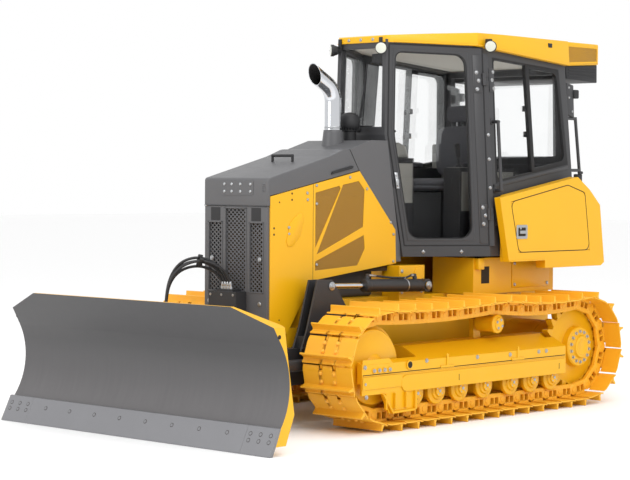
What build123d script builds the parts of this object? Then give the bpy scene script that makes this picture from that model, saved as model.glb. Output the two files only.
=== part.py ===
"""A 10-tonne class crawler bulldozer with an enclosed cab and an angling, tilting blade.

Millimetres. +X points forwards, +Y to the operator's left and +Z up. The origin is on the
ground, midway between the blade's lip and the drawbar's end, on the centre line.
"""
from build123d import *
import math
import os

os.makedirs("parts", exist_ok=True)

# ---------------------------------------------------------------- driving dimensions
blade_tip_x = 2350.0            # foremost point of the blade, above its cutting edge
drawbar_end_x = -2350.0         # rearmost point of the machine
sprocket_x = -1516.0            # drive sprocket's axis
idler_x = 894.0                 # front idler's axis
carrier_x = -479.0              # carrier roller's axis
roller_xs = (490, 246, -16, -301, -621, -875, -1129)   # track rollers' axes, front to rear

gauge = 1675.0                  # from one track's centre line to the other's
shoe_width = 450.0
shoe_pitch = 181.0
shoe_thickness = 10.0
grouser_height = 47.0
grouser_root = 34.0
grouser_crest = 12.0
link_below_pin = 52.0           # pin line to the shoe's inner face
link_above_pin = 45.0           # pin line to the rail that the rollers run on
rail_gap = 90.0                 # between a chain's two rails
rail_width = 32.0
sprocket_teeth = 23
tooth_width = 60.0
idler_pin_radius = 334.0        # pin line round the idler
roller_radius = 80.0
carrier_radius = 62.0

hood_half = 320.0               # half the width of the engine enclosure
hood_front_x = 1331.0
guard_bottom_z = 687.0
sheet = 8.0                     # thickness of hood and panel sheet

chassis_half = 305.0
chassis_bottom_z = 330.0
deck_z = 870.0

cab_bottom_z = 1162.0
cab_floor_z = 1240.0
cab_top_z = 2785.0              # top of the cab's walls at the front
cab_half = 700.0
cab_front_low_x = -76.0
cab_knee_z = 2070.0             # the front leans out up to here, level with the cowl
front_lean = 100.0 / 830.0
front_back_lean = 18.0 / 700.0  # and back again above it
post = 55.0                     # depth of a cab post, and of a door
glass = 6.0

tank_half = cab_half + 100
roof_rise = 65.0                # from the walls' top at the front to the crown of the roof

running_fit = 0.05              # radial play of a pin in its bore
seat_gap = 0.3                  # between faces that touch in the real machine
clearance = 6.0                 # between parts that move past each other

# ---------------------------------------------------------------- places worked out
track_y = gauge / 2
pin_z = grouser_height + shoe_thickness + link_below_pin
sprocket_pin_radius = shoe_pitch / (2 * math.sin(2 * math.pi / sprocket_teeth))
sprocket_z = pin_z + sprocket_pin_radius
idler_z = pin_z + idler_pin_radius
rail_z = pin_z + link_above_pin
roller_z = rail_z + roller_radius + seat_gap
carrier_pin_z = 792.0           # pin line over the carrier roller
chain_bow = 12.0                # the straight links dip this far between their pins over a roller
carrier_z = carrier_pin_z - link_above_pin - chain_bow - carrier_radius


def cab_front_x(z):
    """The cab's front face, which leans out up to the knee and back above it."""
    knee = min(z, cab_knee_z)
    return (cab_front_low_x + front_lean * (knee - cab_floor_z)
            - front_back_lean * (z - knee))


def side(y):
    """A vertical plane along the machine at this distance from its centre line."""
    return Plane.XZ.offset(-y)


def slab(outline, y, width):
    """A plate with this outline as seen from the side, centred on y."""
    with BuildPart() as made:
        with BuildSketch(side(y)):
            Polygon(*outline, align=None)
        extrude(amount=width / 2, both=True)
    return made.part


def rod(start, end, radius):
    """A round bar from one point to another."""
    run = Vector(*end) - Vector(*start)
    with BuildPart() as made:
        with BuildSketch(Plane(origin=start, z_dir=run)):
            Circle(radius)
        extrude(amount=run.length)
    return made.part


def block(low, high):
    """A box from its lowest to its highest corner."""
    size = [b - a for a, b in zip(low, high)]
    with BuildPart() as made:
        with Locations(low):
            Box(*size, align=(Align.MIN, Align.MIN, Align.MIN))
    return made.part


def mirrored(part):
    """The same piece for the machine's other side."""
    with BuildPart() as made:
        mirror(part, about=Plane.XZ)
    return made.part


def save(part, name):
    """Label a finished piece and write it."""
    part.label = name
    export_step(part, f"parts/{name}.step")


def save_pair(part, name):
    """Write a left-hand piece and its mirror image."""
    save(part, name + "_left")
    save(mirrored(part), name + "_right")


# ---------------------------------------------------------------- tracks
def track_pins():
    """Pin centres (x, z) round one track: along the ground, round the idler, back over the
    carrier roller and round the sprocket. The two top spans hang in shallow curves."""
    loop = []
    steps = 24
    for i in range(steps + 1):
        turn = math.pi * i / steps
        loop.append((idler_x + idler_pin_radius * math.sin(turn),
                     idler_z - idler_pin_radius * math.cos(turn)))
    idler_top = (idler_x, idler_z + idler_pin_radius)
    sprocket_top = (sprocket_x, sprocket_z + sprocket_pin_radius)
    for start, end, sag in ((idler_top, (carrier_x, carrier_pin_z), 22.0),
                            ((carrier_x, carrier_pin_z), sprocket_top, 30.0)):
        for i in range(1, steps + 1):
            t = i / steps
            loop.append((start[0] + (end[0] - start[0]) * t,
                         start[1] + (end[1] - start[1]) * t - 4 * sag * t * (1 - t)))
    for i in range(1, steps + 1):
        turn = math.pi * i / steps
        loop.append((sprocket_x - sprocket_pin_radius * math.sin(turn),
                     sprocket_z + sprocket_pin_radius * math.cos(turn)))
    loop.append(loop[0])
    lengths = [math.dist(a, b) for a, b in zip(loop, loop[1:])]
    count = round(sum(lengths) / shoe_pitch)
    pins = []
    for n in range(count):
        left = sum(lengths) * n / count
        k = 0
        while left > lengths[k]:
            left -= lengths[k]
            k += 1
        t = left / lengths[k]
        pins.append((loop[k][0] + (loop[k + 1][0] - loop[k][0]) * t,
                     loop[k][1] + (loop[k + 1][1] - loop[k][1]) * t))
    return pins


pins = track_pins()
tip_offset = link_below_pin + shoe_thickness + grouser_height
shoe_end = 6.0                  # each shoe stops this far short of its pins


def shoe_points(start, end):
    """Outer outline of one shoe between two pins, its grouser near the leading edge."""
    length = math.dist(start, end)
    along = ((end[0] - start[0]) / length, (end[1] - start[1]) / length)
    out = (along[1], -along[0])
    plate = link_below_pin + shoe_thickness
    places = ((shoe_end, plate), (0.25 * length - grouser_root / 2, plate),
              (0.25 * length - grouser_crest / 2, tip_offset),
              (0.25 * length + grouser_crest / 2, tip_offset),
              (0.25 * length + grouser_root / 2, plate), (length - shoe_end, plate))
    return [(start[0] + along[0] * s + out[0] * h, start[1] + along[1] * s + out[1] * h)
            for s, h in places]


def offset_loop(distance):
    """The pin line moved outwards by a distance, one point over each link's middle."""
    points = []
    for start, end in zip(pins, pins[1:] + pins[:1]):
        length = math.dist(start, end)
        out = ((end[1] - start[1]) / length, -(end[0] - start[0]) / length)
        points.append(((start[0] + end[0]) / 2 + out[0] * distance,
                       (start[1] + end[1]) / 2 + out[1] * distance))
    return points


shoe_outline = []
for start, end in zip(pins, pins[1:] + pins[:1]):
    shoe_outline += shoe_points(start, end)

with BuildPart() as track_left:
    with BuildSketch(side(track_y)):
        Polygon(*shoe_outline, align=None)
        Polygon(*offset_loop(link_below_pin), align=None, mode=Mode.SUBTRACT)
    extrude(amount=shoe_width / 2, both=True)
    rail_middle = (rail_gap + rail_width) / 2
    for rail_y in (track_y - rail_middle, track_y + rail_middle):
        with BuildSketch(side(rail_y)):
            Polygon(*offset_loop(link_below_pin + shoe_thickness / 2), align=None)
            Polygon(*offset_loop(-link_above_pin), align=None, mode=Mode.SUBTRACT)
        extrude(amount=rail_width / 2, both=True)
save_pair(track_left.part, "track")

# ---------------------------------------------------------------- track frames
frame_inner_y = 675.0
frame_outer_y = 1000.0
frame_front_x = 1104.0
frame_rear_x = -1246.0
frame_bottom_z = 340.0
frame_top_z = 560.0
guard_z = 262.0                 # lower edge of the roller guards
guard_thickness = 16.0
idler_slot_x = 480.0            # the frame is a fork in front of this
shaft_inner_y = frame_inner_y + guard_thickness
shaft_outer_y = frame_outer_y - guard_thickness

rail_outer = rail_gap / 2 + rail_width
stand_y = track_y - rail_outer - 24     # carrier roller's stand

with BuildPart() as track_frame_left:
    with BuildSketch(Plane.YZ.offset(frame_rear_x)):
        Polygon((frame_inner_y, frame_top_z), (820, frame_top_z), (frame_outer_y, 470),
                (frame_outer_y, guard_z), (shaft_outer_y, guard_z),
                (shaft_outer_y, frame_bottom_z), (shaft_inner_y, frame_bottom_z),
                (shaft_inner_y, guard_z), (frame_inner_y, guard_z), align=None)
    extrude(amount=frame_front_x - frame_rear_x)
    # the idler runs in a fork whose arms are the frame's two sides
    add(block((idler_slot_x, shaft_inner_y + 30, 0), (2000, shaft_outer_y - 30, 2000)),
        mode=Mode.SUBTRACT)
    # guide plates that reach down in front of the first roller
    for y in (frame_inner_y + guard_thickness / 2, frame_outer_y - guard_thickness / 2):
        add(slab([(930, guard_z + 60), (530, guard_z + 60), (530, 136), (820, 120)], y,
                 guard_thickness))
    # the sprocket's teeth run in a slot in the rear end
    add(block((-1600, track_y - tooth_width / 2 - 8, 0), (-1150, track_y + tooth_width / 2 + 8, 2000)),
        mode=Mode.SUBTRACT)
    # stand and shaft of the carrier roller
    add(block((carrier_x - 40, stand_y - 40, frame_top_z - 20), (carrier_x + 40, stand_y, carrier_z + 30)))
    with BuildSketch(side(stand_y)):
        with Locations((carrier_x, carrier_z)):
            Circle(26)
    extrude(amount=seat_gap - (track_y - rail_outer - stand_y))
save_pair(track_frame_left.part, "track_frame")

# ---------------------------------------------------------------- rollers, idlers, sprockets
def turned(x, z, sections):
    """Round pieces on a cross-wise axis: each section is (y from, y to, radius)."""
    with BuildPart() as made:
        for y0, y1, radius in sections:
            with BuildSketch(side(y0)):
                with Locations((x, z)):
                    Circle(radius)
            extrude(amount=-(y1 - y0))
    return made.part


with BuildPart() as track_rollers_left:
    for x in roller_xs:
        add(turned(x, roller_z, (
            (shaft_inner_y + seat_gap, shaft_outer_y - seat_gap, 28),
            (track_y - rail_outer - 34, track_y - rail_outer - 4, roller_radius + 18),
            (track_y - rail_outer - 4, track_y + rail_outer + 4, roller_radius),
            (track_y + rail_outer + 4, track_y + rail_outer + 34, roller_radius + 18))))
    add(turned(carrier_x, carrier_z, (
        (track_y + rail_outer, 950, 44),
        (track_y - rail_outer, track_y + rail_outer, carrier_radius))))
save_pair(track_rollers_left.part, "track_rollers")

half_link = math.cos(math.asin(shoe_pitch / 2 / idler_pin_radius))
idler_tread = (idler_pin_radius * half_link - link_above_pin) * half_link - 3
with BuildPart() as idler_left:
    add(turned(idler_x, idler_z, (
        (shaft_inner_y + 30 + seat_gap, shaft_outer_y - 30 - seat_gap, 45),
        (track_y - rail_outer, track_y + rail_outer, idler_tread),
        (track_y - rail_gap / 2 + 6, track_y + rail_gap / 2 - 6, idler_tread + 32))))
save_pair(idler_left.part, "idler")

tooth_root = sprocket_pin_radius - 38
tooth_crest = sprocket_pin_radius + 14
hub_face_y = 947.0
final_drive_radius = 190.0
with BuildPart() as sprocket_left:
    with BuildSketch(side(track_y)):
        with Locations((sprocket_x, sprocket_z)):
            Circle(tooth_root)
        for n in range(sprocket_teeth):
            turn = 360 * n / sprocket_teeth
            with Locations((sprocket_x, sprocket_z)):
                with Locations(Location((0, 0, 0), (0, 0, turn))):
                    Polygon((tooth_root - 20, -26), (tooth_crest - 8, -10), (tooth_crest, 0),
                            (tooth_crest - 8, 10), (tooth_root - 20, 26), align=None)
    extrude(amount=tooth_width / 2, both=True)
    add(turned(sprocket_x, sprocket_z, (
        (610 + seat_gap, track_y, final_drive_radius), (track_y, hub_face_y - 12, 150),
        (hub_face_y - 12, hub_face_y, 145), (hub_face_y, hub_face_y + 18, 84))))
save_pair(sprocket_left.part, "sprocket")

# ---------------------------------------------------------------- chassis
arm_pivot_x = -516.0            # push arms' pivot
arm_pivot_z = 420.0
arm_inner_y = 385.0
arm_outer_y = 465.0
arm_eye_radius = 78.0
arm_pin_radius = 40.0
lift_y = 470.0                  # lift cylinders' plane
lift_rear_x = -192.0
lift_rear_z = 952.0
lift_front_x = 887.0
lift_front_z = 984.0
lift_eye_half = 28.0
lift_pin_radius = 26.0
barrel_radius = 47.0
piston_radius = 19.0

rear_plate_x = -1960.0
box_top_z = 1146.0
rear_bolts_y = 400.0
rear_bolts_z0 = 590.0
rear_bolts_pitch_z = 220.0
rear_bolt_radius = 12.0

with BuildPart() as main_frame:
    add(slab([(rear_plate_x, deck_z), (rear_plate_x, 520), (-1760, chassis_bottom_z),
              (760, chassis_bottom_z), (1120, 560), (1290, 640),
              (1290, guard_bottom_z - seat_gap), (1000, guard_bottom_z - seat_gap),
              (1000, deck_z)], 0, 2 * chassis_half))
    # drawbar
    add(block((drawbar_end_x, -60, 500), (-1950, 60, 560)))
    with Locations((drawbar_end_x + 60, 0, 560)):
        Hole(22, depth=60)
    # bolt holes for a ripper or winch in the rear plate
    for y in (-rear_bolts_y / 2, rear_bolts_y / 2):
        for z in (rear_bolts_z0, rear_bolts_z0 + rear_bolts_pitch_z):
            add(rod((rear_plate_x, y, z), (rear_plate_x + 60, y, z), rear_bolt_radius),
                mode=Mode.SUBTRACT)
save(main_frame.part, "main_frame")

mount_y = chassis_half + seat_gap
with BuildPart() as side_mounts:
    for hand in (1, -1):
        # beams that carry the track frames
        low_y, high_y = sorted((hand * mount_y, hand * (frame_inner_y - seat_gap)))
        for x0, x1 in ((-760, -640), (-1120, -1000)):
            add(block((x0, low_y, 350), (x1, high_y, 500)))
        # final drive's case, and the push arm's pivot pin
        add(rod((sprocket_x, hand * mount_y, sprocket_z), (sprocket_x, hand * 610, sprocket_z),
                final_drive_radius))
        add(rod((arm_pivot_x, hand * mount_y, arm_pivot_z),
                (arm_pivot_x, hand * (arm_outer_y + 20), arm_pivot_z), arm_pin_radius))
save(side_mounts.part, "side_mounts")

with BuildPart() as lift_brackets:
    bracket_y = lift_y - barrel_radius - 8
    add(block((-250, -bracket_y, deck_z - 60), (40, bracket_y, 1100)))
    add(block((-300, -mount_y, deck_z - 100), (100, mount_y, deck_z + seat_gap)),
        mode=Mode.SUBTRACT)
    add(block((-300, 60 - chassis_half, deck_z), (100, chassis_half - 60, 1200)),
        mode=Mode.SUBTRACT)
    for hand in (1, -1):
        for reach, radius in ((-1, 46), (2 * lift_eye_half + 8, lift_pin_radius)):
            add(rod((lift_rear_x, hand * bracket_y, lift_rear_z),
                    (lift_rear_x, hand * (lift_y - lift_eye_half + reach), lift_rear_z), radius))
save(lift_brackets.part, "lift_brackets")

# boxes beside the transmission, under the cab, and the pillar under the rear tank
deck_box_inner_y = 200.0
with BuildPart() as deck_boxes:
    for hand in (1, -1):
        low_y, high_y = sorted((hand * deck_box_inner_y, hand * 600))
        add(block((-1621, low_y, deck_z + seat_gap), (-606, high_y, box_top_z)))
        for x in (-1550, -700):
            add(rod((x, hand * 450, box_top_z - 5), (x, hand * 450, cab_bottom_z - seat_gap), 50))
    pillar_y = deck_box_inner_y - seat_gap
    add(block((-1940, -pillar_y, deck_z + seat_gap), (-1600, pillar_y, box_top_z)))
save(deck_boxes.part, "deck_boxes")

with BuildPart() as engine_block:
    add(block((120, -210, deck_z + seat_gap), (960, 210, 1480)))
    fillet(engine_block.edges().filter_by(Axis.X), 30)
save(engine_block.part, "engine_block")

# ---------------------------------------------------------------- engine enclosure
hood_outline = [(hood_front_x, 1544), (hood_front_x, 1734), (1315, 1743), (701, 1903),
                (542, 1956), (488, 1957), (380, 1799), (1310, 1617), (1310, 1544)]
with BuildPart() as hood:
    add(slab(hood_outline, 0, 2 * hood_half))
    add(slab([(1310 - sheet, 1500), (1310 - sheet, 1735), (701, 1903 - sheet * 1.4),
              (542, 1956 - sheet * 1.4), (488, 1957 - sheet * 1.4), (360, 1799), (360, 1500)],
             0, 2 * (hood_half - sheet)), mode=Mode.SUBTRACT)
save(hood.part, "hood")

screen_windows = (((850, 1640), (600, 1690), (585, 1670), (850, 1245)),
                  ((560, 1697), (390, 1725), (325, 1660), (340, 1390), (835, 1200)),
                  ((850, 1150), (330, 1330), (320, 1230), (400, 1110), (850, 1085)))
split_x = 874.0
fascia_x = hood_front_x - 21.5
with BuildPart() as side_panel_left:
    panel_y = hood_half - sheet / 2
    add(slab([(fascia_x, guard_bottom_z), (fascia_x, 1614), (split_x, 1701),
              (split_x, 1016), (1135, 649), (1250, 649)], panel_y, sheet))
    add(slab([(split_x - 2, 1701), (380, 1797), (-23, 1365), (-32, 1114), (794, 1024),
              (split_x - 2, 1012)], panel_y, sheet))
    for window in screen_windows:
        add(slab(window, panel_y, 4 * sheet), mode=Mode.SUBTRACT)
save_pair(side_panel_left.part, "side_panel")

with BuildPart() as side_screen_left:
    for window in screen_windows:
        add(slab(window, panel_y, 3))
save_pair(side_screen_left.part, "side_screen")

grille_columns = ((0, 100, 945, 1527), (205, 64, 945, 1427), (-205, 64, 945, 1427))
with BuildPart() as radiator_guard:
    guard_half = hood_half - sheet - seat_gap
    add(block((1200, -guard_half, guard_bottom_z), (hood_front_x, guard_half, 1544 - seat_gap)))
    add(block((1150, -guard_half + 20, guard_bottom_z + 40),
              (hood_front_x - 24, guard_half - 20, 1504)), mode=Mode.SUBTRACT)
    for y, half, z0, z1 in grille_columns:
        add(block((1200, y - half, z0), (1400, y + half, z1)), mode=Mode.SUBTRACT)
save(radiator_guard.part, "radiator_guard")

with BuildPart() as front_grille:
    for y, half, z0, z1 in grille_columns:
        add(block((hood_front_x - 16, y - half, z0), (hood_front_x - 12, y + half, z1)))
save(front_grille.part, "front_grille")

cowl_top_z = 2025.0
exhaust_x = 324.0
with BuildPart() as cowl:
    add(slab([(486.2, 1955), (250, cowl_top_z), (cab_front_x(cowl_top_z) + seat_gap, cowl_top_z),
              (cab_front_x(1126) + seat_gap, 1126), (-32.4, 1126), (-23.4, 1365.4), (378.9, 1798)],
             0, 2 * hood_half))


pipe_radius = 59.0
bend_radius = 120.0
bend_z = 2372.0
bend_turn = 82.0
with BuildPart() as exhaust_stack:
    collar_z = cowl_top_z + 45
    for z, radius in ((cowl_top_z - 95, 105), (collar_z, 68)):
        with BuildSketch(Plane.XY.offset(z)):
            with Locations((exhaust_x, 0)):
                Circle(radius)
    loft()
    add(slab([(0, 1800), (0, cowl_top_z + seat_gap), (250, cowl_top_z + seat_gap),
              (486.2, 1955 + seat_gap), (600, 1920), (600, 1800)], 0, 400), mode=Mode.SUBTRACT)
    with BuildLine(Plane.XZ) as pipe_line:
        rise = Line((exhaust_x, collar_z), (exhaust_x, bend_z))
        bend = JernArc(rise @ 1, rise % 1, bend_radius, -bend_turn)
        Line(bend @ 1, bend @ 1 + (bend % 1) * 150)
    with BuildSketch(Plane(origin=(exhaust_x, 0, collar_z))):
        Circle(pipe_radius)
    sweep(path=pipe_line.line)
    # mouth, cut so that its upper lip reaches further, and the bore behind it
    tip = pipe_line.line @ 1
    throat = (bend @ 1) + (bend % 1) * 10
    add(rod(tuple(throat), tuple(tip), pipe_radius - 4), mode=Mode.SUBTRACT)
    add(slab([(tip.X - 90, tip.Z - 120), (tip.X + 20, tip.Z + 120), (tip.X + 200, tip.Z + 120),
              (tip.X + 200, tip.Z - 120)], 0, 400), mode=Mode.SUBTRACT)
save(exhaust_stack.part, "exhaust_stack")

with BuildPart() as precleaner:
    with BuildSketch(Plane.XZ):
        with BuildLine():
            bowl = [(0, 0), (50, 0), (50, 75), (66, 88), (80, 130), (72, 175), (40, 205), (0, 212)]
            Polyline(*[(r, cowl_top_z + seat_gap + z) for r, z in bowl], close=True)
        make_face()
    revolve(axis=Axis.Z)
precleaner_part = precleaner.part.moved(Location((150, 10, 0)))
save(precleaner_part, "precleaner")

# ---------------------------------------------------------------- cab
side_lean = 105.0 / 1480.0
door_lean = 34.5 / 1410.0
rear_lean = 40.0 / 1410.0
cab_rear_low_x = -1790.0
cab_corner_x = -671.0           # where the side wall meets the door's plane, at the floor
door_turn = 31.6                # angle of the door's plane from the machine's length
ceiling_sheet = 30.0


def cab_rear_x(z):
    """The cab's rear face, which leans forwards as it rises."""
    return cab_rear_low_x + rear_lean * (z - cab_floor_z)


def cab_plan(z, inset=0.0):
    """The cab's outline at a height, front left corner first: A, B, C and their mirror images."""
    rise = z - cab_floor_z
    front_x = cab_front_x(z) - inset
    side_y = cab_half - side_lean * rise - inset
    rear_x = cab_rear_x(z) + inset
    sine, cosine = math.sin(math.radians(door_turn)), math.cos(math.radians(door_turn))
    reach = sine * cab_corner_x + cosine * cab_half - door_lean * rise - inset
    a = (front_x, (reach - sine * front_x) / cosine)
    b = ((reach - cosine * side_y) / sine, side_y)
    c = (rear_x, side_y)
    return [a, b, c, (c[0], -c[1]), (b[0], -b[1]), (a[0], -a[1])]


def cab_solid(z0, z1, inset=0.0):
    """A solid that fills the cab's outline between two heights."""
    levels = [z0] + [cab_knee_z] * (z0 < cab_knee_z < z1) + [z1]
    with BuildPart() as made:
        for low, high in zip(levels, levels[1:]):
            for z in (low, high):
                with BuildSketch(Plane.XY.offset(z)):
                    Polygon(*cab_plan(z, inset), align=None)
            loft(ruled=True)
    return made.part


def over_cab(depth):
    """Outline, seen from the side, of all that lies over the cab's sloping top, or over a line
    this depth below it."""
    line = ((400, 0), (60, 0), (cab_corner_x + 97, -15), (cab_rear_low_x + 34, -110), (-2600, -110))
    return ([(x, cab_top_z + fall - depth) for x, fall in line]
            + [(-2600, cab_top_z + 400), (400, cab_top_z + 400)])


def wall_plane(index, z=cab_floor_z):
    """A plane on the cab's outer face, from one plan corner towards the next, with its local
    y up the wall."""
    low, high = cab_plan(z), cab_plan(z + 1000)
    start, end = Vector(*low[index], z), Vector(*low[(index + 1) % 6], z)
    along = (end - start).normalized()
    top_start, top_end = Vector(*high[index], z + 1000), Vector(*high[(index + 1) % 6], z + 1000)
    middle = (top_start + top_end) * 0.5 - (start + end) * 0.5
    up = (middle - along * middle.dot(along)).normalized()
    return Plane(origin=start, x_dir=along, z_dir=along.cross(up))


def on_wall(index, z, corner):
    """Where a plan corner at a height lies in a wall's plane."""
    plane = wall_plane(index)
    point = plane.to_local_coords(Vector(*cab_plan(z)[corner], z))
    return point.X, point.Y


door_plane = wall_plane(0)
side_wall = wall_plane(1)
door_low_z = cab_floor_z
door_high_z = cab_top_z - 33
door_top_fall = 14.0            # the doorway's top falls to the rear with the roof's edge
post_a = 20.0
hinge_line_lean = 0.0393
door_play = clearance


def hinge_line(v):
    """The doorway's rear edge, across the door's plane at a height in it."""
    return on_wall(0, cab_floor_z, 1)[0] + 3 - hinge_line_lean * v


def door_outline(front_gap, rear_gap, low, high):
    """The doorway, inset from the cab's front corner and from its rear edge, between two
    heights: lower front, lower rear, upper rear, upper front and the knee."""
    (x0, y0), (x1, y1), (x2, y2) = [on_wall(0, z, 0) for z in (low, cab_knee_z, high)]
    rear_y = y2 - door_top_fall
    return [(x0 + front_gap, y0), (hinge_line(y0) - rear_gap, y0),
            (hinge_line(rear_y) - rear_gap, rear_y), (x2 + front_gap, y2), (x1 + front_gap, y1)]


def wall_prism(plane, outline, low, high):
    """A prism on a wall's outline, from one depth to another; positive is outwards."""
    with BuildPart() as made:
        with BuildSketch(plane.offset(low)):
            Polygon(*outline, align=None)
        extrude(amount=high - low)
    return made.part


def windscreen_outline(low, high, inset):
    """The front opening between the two front posts."""
    points = []
    for z in (low, high):
        corner_y = cab_plan(z)[0][1] - inset
        points.append((z, corner_y))
    (z0, y0), (z1, y1) = points
    return [(y0, z0), (-y0, z0), (-y1, z1), (y1, z1)]


side_window = [(-815, cab_top_z - 117), (-1655, cab_top_z - 173), (-1722, cab_floor_z + 628),
               (-792, cab_floor_z + 482)]
windscreen = windscreen_outline(cab_knee_z + 60, cab_top_z - 65, post_a + 14)
rear_window_half = 520.0

doorway = door_outline(post_a, 0, door_low_z, door_high_z)
hinge_radius = 14.0
hinge_out = 15.0                # hinge axis, outside the door's face
hinge_length = 90.0
hinge_heights = (0.16, 0.84)    # as shares of the doorway's height
knuckle = hinge_length / 3


def hinge_point(share):
    """A point on the door's hinge axis, in the door plane's own coordinates."""
    (x0, y0), (x1, y1) = doorway[1], doorway[2]
    return x0 + (x1 - x0) * share - door_play / 2, y0 + (y1 - y0) * share


def hinge_part(share, pieces, width):
    """Part of one hinge: some of its knuckles along the axis, and its plate, which reaches
    sideways from the axis by a width (negative towards the door)."""
    (u0, v0), (u1, v1) = hinge_point(0), hinge_point(1)
    axis = (Vector(*door_plane.from_local_coords((u1, v1, 0)))
            - Vector(*door_plane.from_local_coords((u0, v0, 0)))).normalized()
    u, v = hinge_point(share)
    centre = Vector(*door_plane.from_local_coords((u, v, hinge_out)))
    with BuildPart() as made:
        for piece in pieces:
            start = centre + axis * (knuckle * (piece - 0.5) + seat_gap)
            end = centre + axis * (knuckle * (piece + 0.5) - seat_gap)
            add(rod(tuple(start), tuple(end), hinge_radius))
            half = knuckle / 2 - 2
            middle = v + knuckle * piece
            near = u + (u1 - u0) / (v1 - v0) * knuckle * piece
            outline = [(near, middle - half), (near + width, middle - half),
                       (near + width, middle + half), (near, middle + half)]
            add(wall_prism(door_plane, outline, -1, 8))
    return made.part


# the cowl is cut back where the doors' front edges swing past it
door_swing = wall_prism(door_plane, door_outline(-14, 0, cab_bottom_z - 40, cab_top_z), -10, 200)
cowl.part = cowl.part - door_swing - mirrored(door_swing)
save(cowl.part, "cowl")

with BuildPart() as cab_cavity:
    add(cab_solid(cab_floor_z, cab_top_z, post))
    add(slab(over_cab(ceiling_sheet), 0, 4 * cab_half), mode=Mode.SUBTRACT)

with BuildPart() as window_cuts:
    add(slab(side_window, 0, 4 * cab_half))
    with BuildSketch(Plane.YZ.offset(-300)):
        Polygon(*windscreen, align=None)
    extrude(amount=600)
    with BuildSketch(Plane.YZ.offset(-1900)):
        with Locations((0, cab_top_z - 530)):
            Rectangle(2 * rear_window_half, 650)
    extrude(amount=400)

hinge_post = 40.0               # width of the upright that carries the frame's hinge plates
with BuildPart() as cab_frame:
    add(cab_solid(cab_bottom_z, cab_top_z))
    add(slab(over_cab(0), 0, 4 * cab_half), mode=Mode.SUBTRACT)
    add(cab_cavity.part, mode=Mode.SUBTRACT)
    (_, low_v), (_, high_v) = doorway[1], doorway[2]
    upright = wall_prism(door_plane, [(hinge_line(low_v), low_v),
                                      (hinge_line(low_v) + hinge_post, low_v),
                                      (hinge_line(high_v) + hinge_post, high_v - 50),
                                      (hinge_line(high_v), high_v - 50)], -80, 0)
    add(upright)
    add(mirrored(upright))
    doorway_cut = wall_prism(door_plane, doorway, -2 * post, 50)
    add(doorway_cut, mode=Mode.SUBTRACT)
    add(mirrored(doorway_cut), mode=Mode.SUBTRACT)
    add(window_cuts.part, mode=Mode.SUBTRACT)
    for share in hinge_heights:
        plates = hinge_part(share, (-1, 1), hinge_post)
        add(plates)
        add(mirrored(plates))
save(cab_frame.part, "cab_frame")

with BuildPart() as door_left:
    leaf = door_outline(post_a + door_play, door_play, door_low_z + door_play,
                        door_high_z - door_play)
    add(wall_prism(door_plane, leaf, -post, 0))
    door_glazing = door_outline(post_a + 40, 125, door_low_z + 45, door_high_z - 48)
    add(wall_prism(door_plane, door_glazing, -2 * post, 50), mode=Mode.SUBTRACT)
    for share in hinge_heights:
        add(hinge_part(share, (0,), -45))
save_pair(door_left.part, "door")

with BuildPart() as door_glass_left:
    pane = door_outline(post_a + 40 + seat_gap, 125 + seat_gap, door_low_z + 45 + seat_gap,
                        door_high_z - 48 - seat_gap)
    add(wall_prism(door_plane, pane, -post / 2 - glass, -post / 2))
save_pair(door_glass_left.part, "door_glass")

with BuildPart() as cab_glass:
    add(cab_solid(cab_bottom_z, cab_top_z, 20))
    add(cab_solid(cab_bottom_z - 50, cab_top_z + 50, 20 + glass), mode=Mode.SUBTRACT)
    add(window_cuts.part, mode=Mode.INTERSECT)
save(cab_glass.part, "cab_glass")

# the roof is a cap whose skirt hangs over the cab's walls, thin in front and deep behind
roof_skirt = 25.0
roof_half = cab_half - 60
roof_front_x = cab_front_x(cab_top_z) + 14
roof_rear_x = cab_rear_low_x + 34
roof_z = cab_top_z + roof_rise
with BuildPart() as cab_shape:
    add(cab_solid(cab_bottom_z, cab_top_z + 30, -seat_gap))
    add(slab(over_cab(-seat_gap), 0, 4 * cab_half), mode=Mode.SUBTRACT)

with BuildPart() as cab_roof:
    add(slab([(roof_front_x, cab_top_z - 200), (roof_front_x, cab_top_z + 20),
              (roof_front_x - 20, cab_top_z + 28), (-600, roof_z - 3), (-900, roof_z),
              (roof_rear_x, roof_z - 4), (roof_rear_x, cab_top_z - 200)], 0, 4 * cab_half))
    with BuildSketch(Plane.XY.offset(cab_top_z - 250)):
        Polygon((roof_front_x, 222), (-32, 281), (cab_corner_x + 80, roof_half),
                (roof_rear_x, roof_half), (roof_rear_x, -roof_half),
                (cab_corner_x + 80, -roof_half), (-32, -281), (roof_front_x, -222), align=None)
    extrude(amount=600, mode=Mode.INTERSECT)
    add(slab(over_cab(roof_skirt), 0, 4 * cab_half), mode=Mode.INTERSECT)
    add(cab_shape.part, mode=Mode.SUBTRACT)
save(cab_roof.part, "cab_roof")

# case of the air conditioner on the roof's line, and the condenser under it
unit_front_x = roof_rear_x - seat_gap
unit_rear_x = roof_rear_x - 456
with BuildPart() as roof_unit:
    add(slab([(unit_front_x, cab_top_z - 135), (unit_front_x, roof_z - 4),
              (unit_rear_x + 8, roof_z - 4), (unit_rear_x, roof_z - 14),
              (unit_rear_x, cab_top_z - 107)], 0, 1200))
    add(slab([(roof_rear_x - 12, cab_top_z - 135), (unit_rear_x, cab_top_z - 107),
              (unit_rear_x, cab_top_z - 254), (roof_rear_x - 38, cab_top_z - 236)], 0, 1180))
save(roof_unit.part, "roof_unit")

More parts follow.
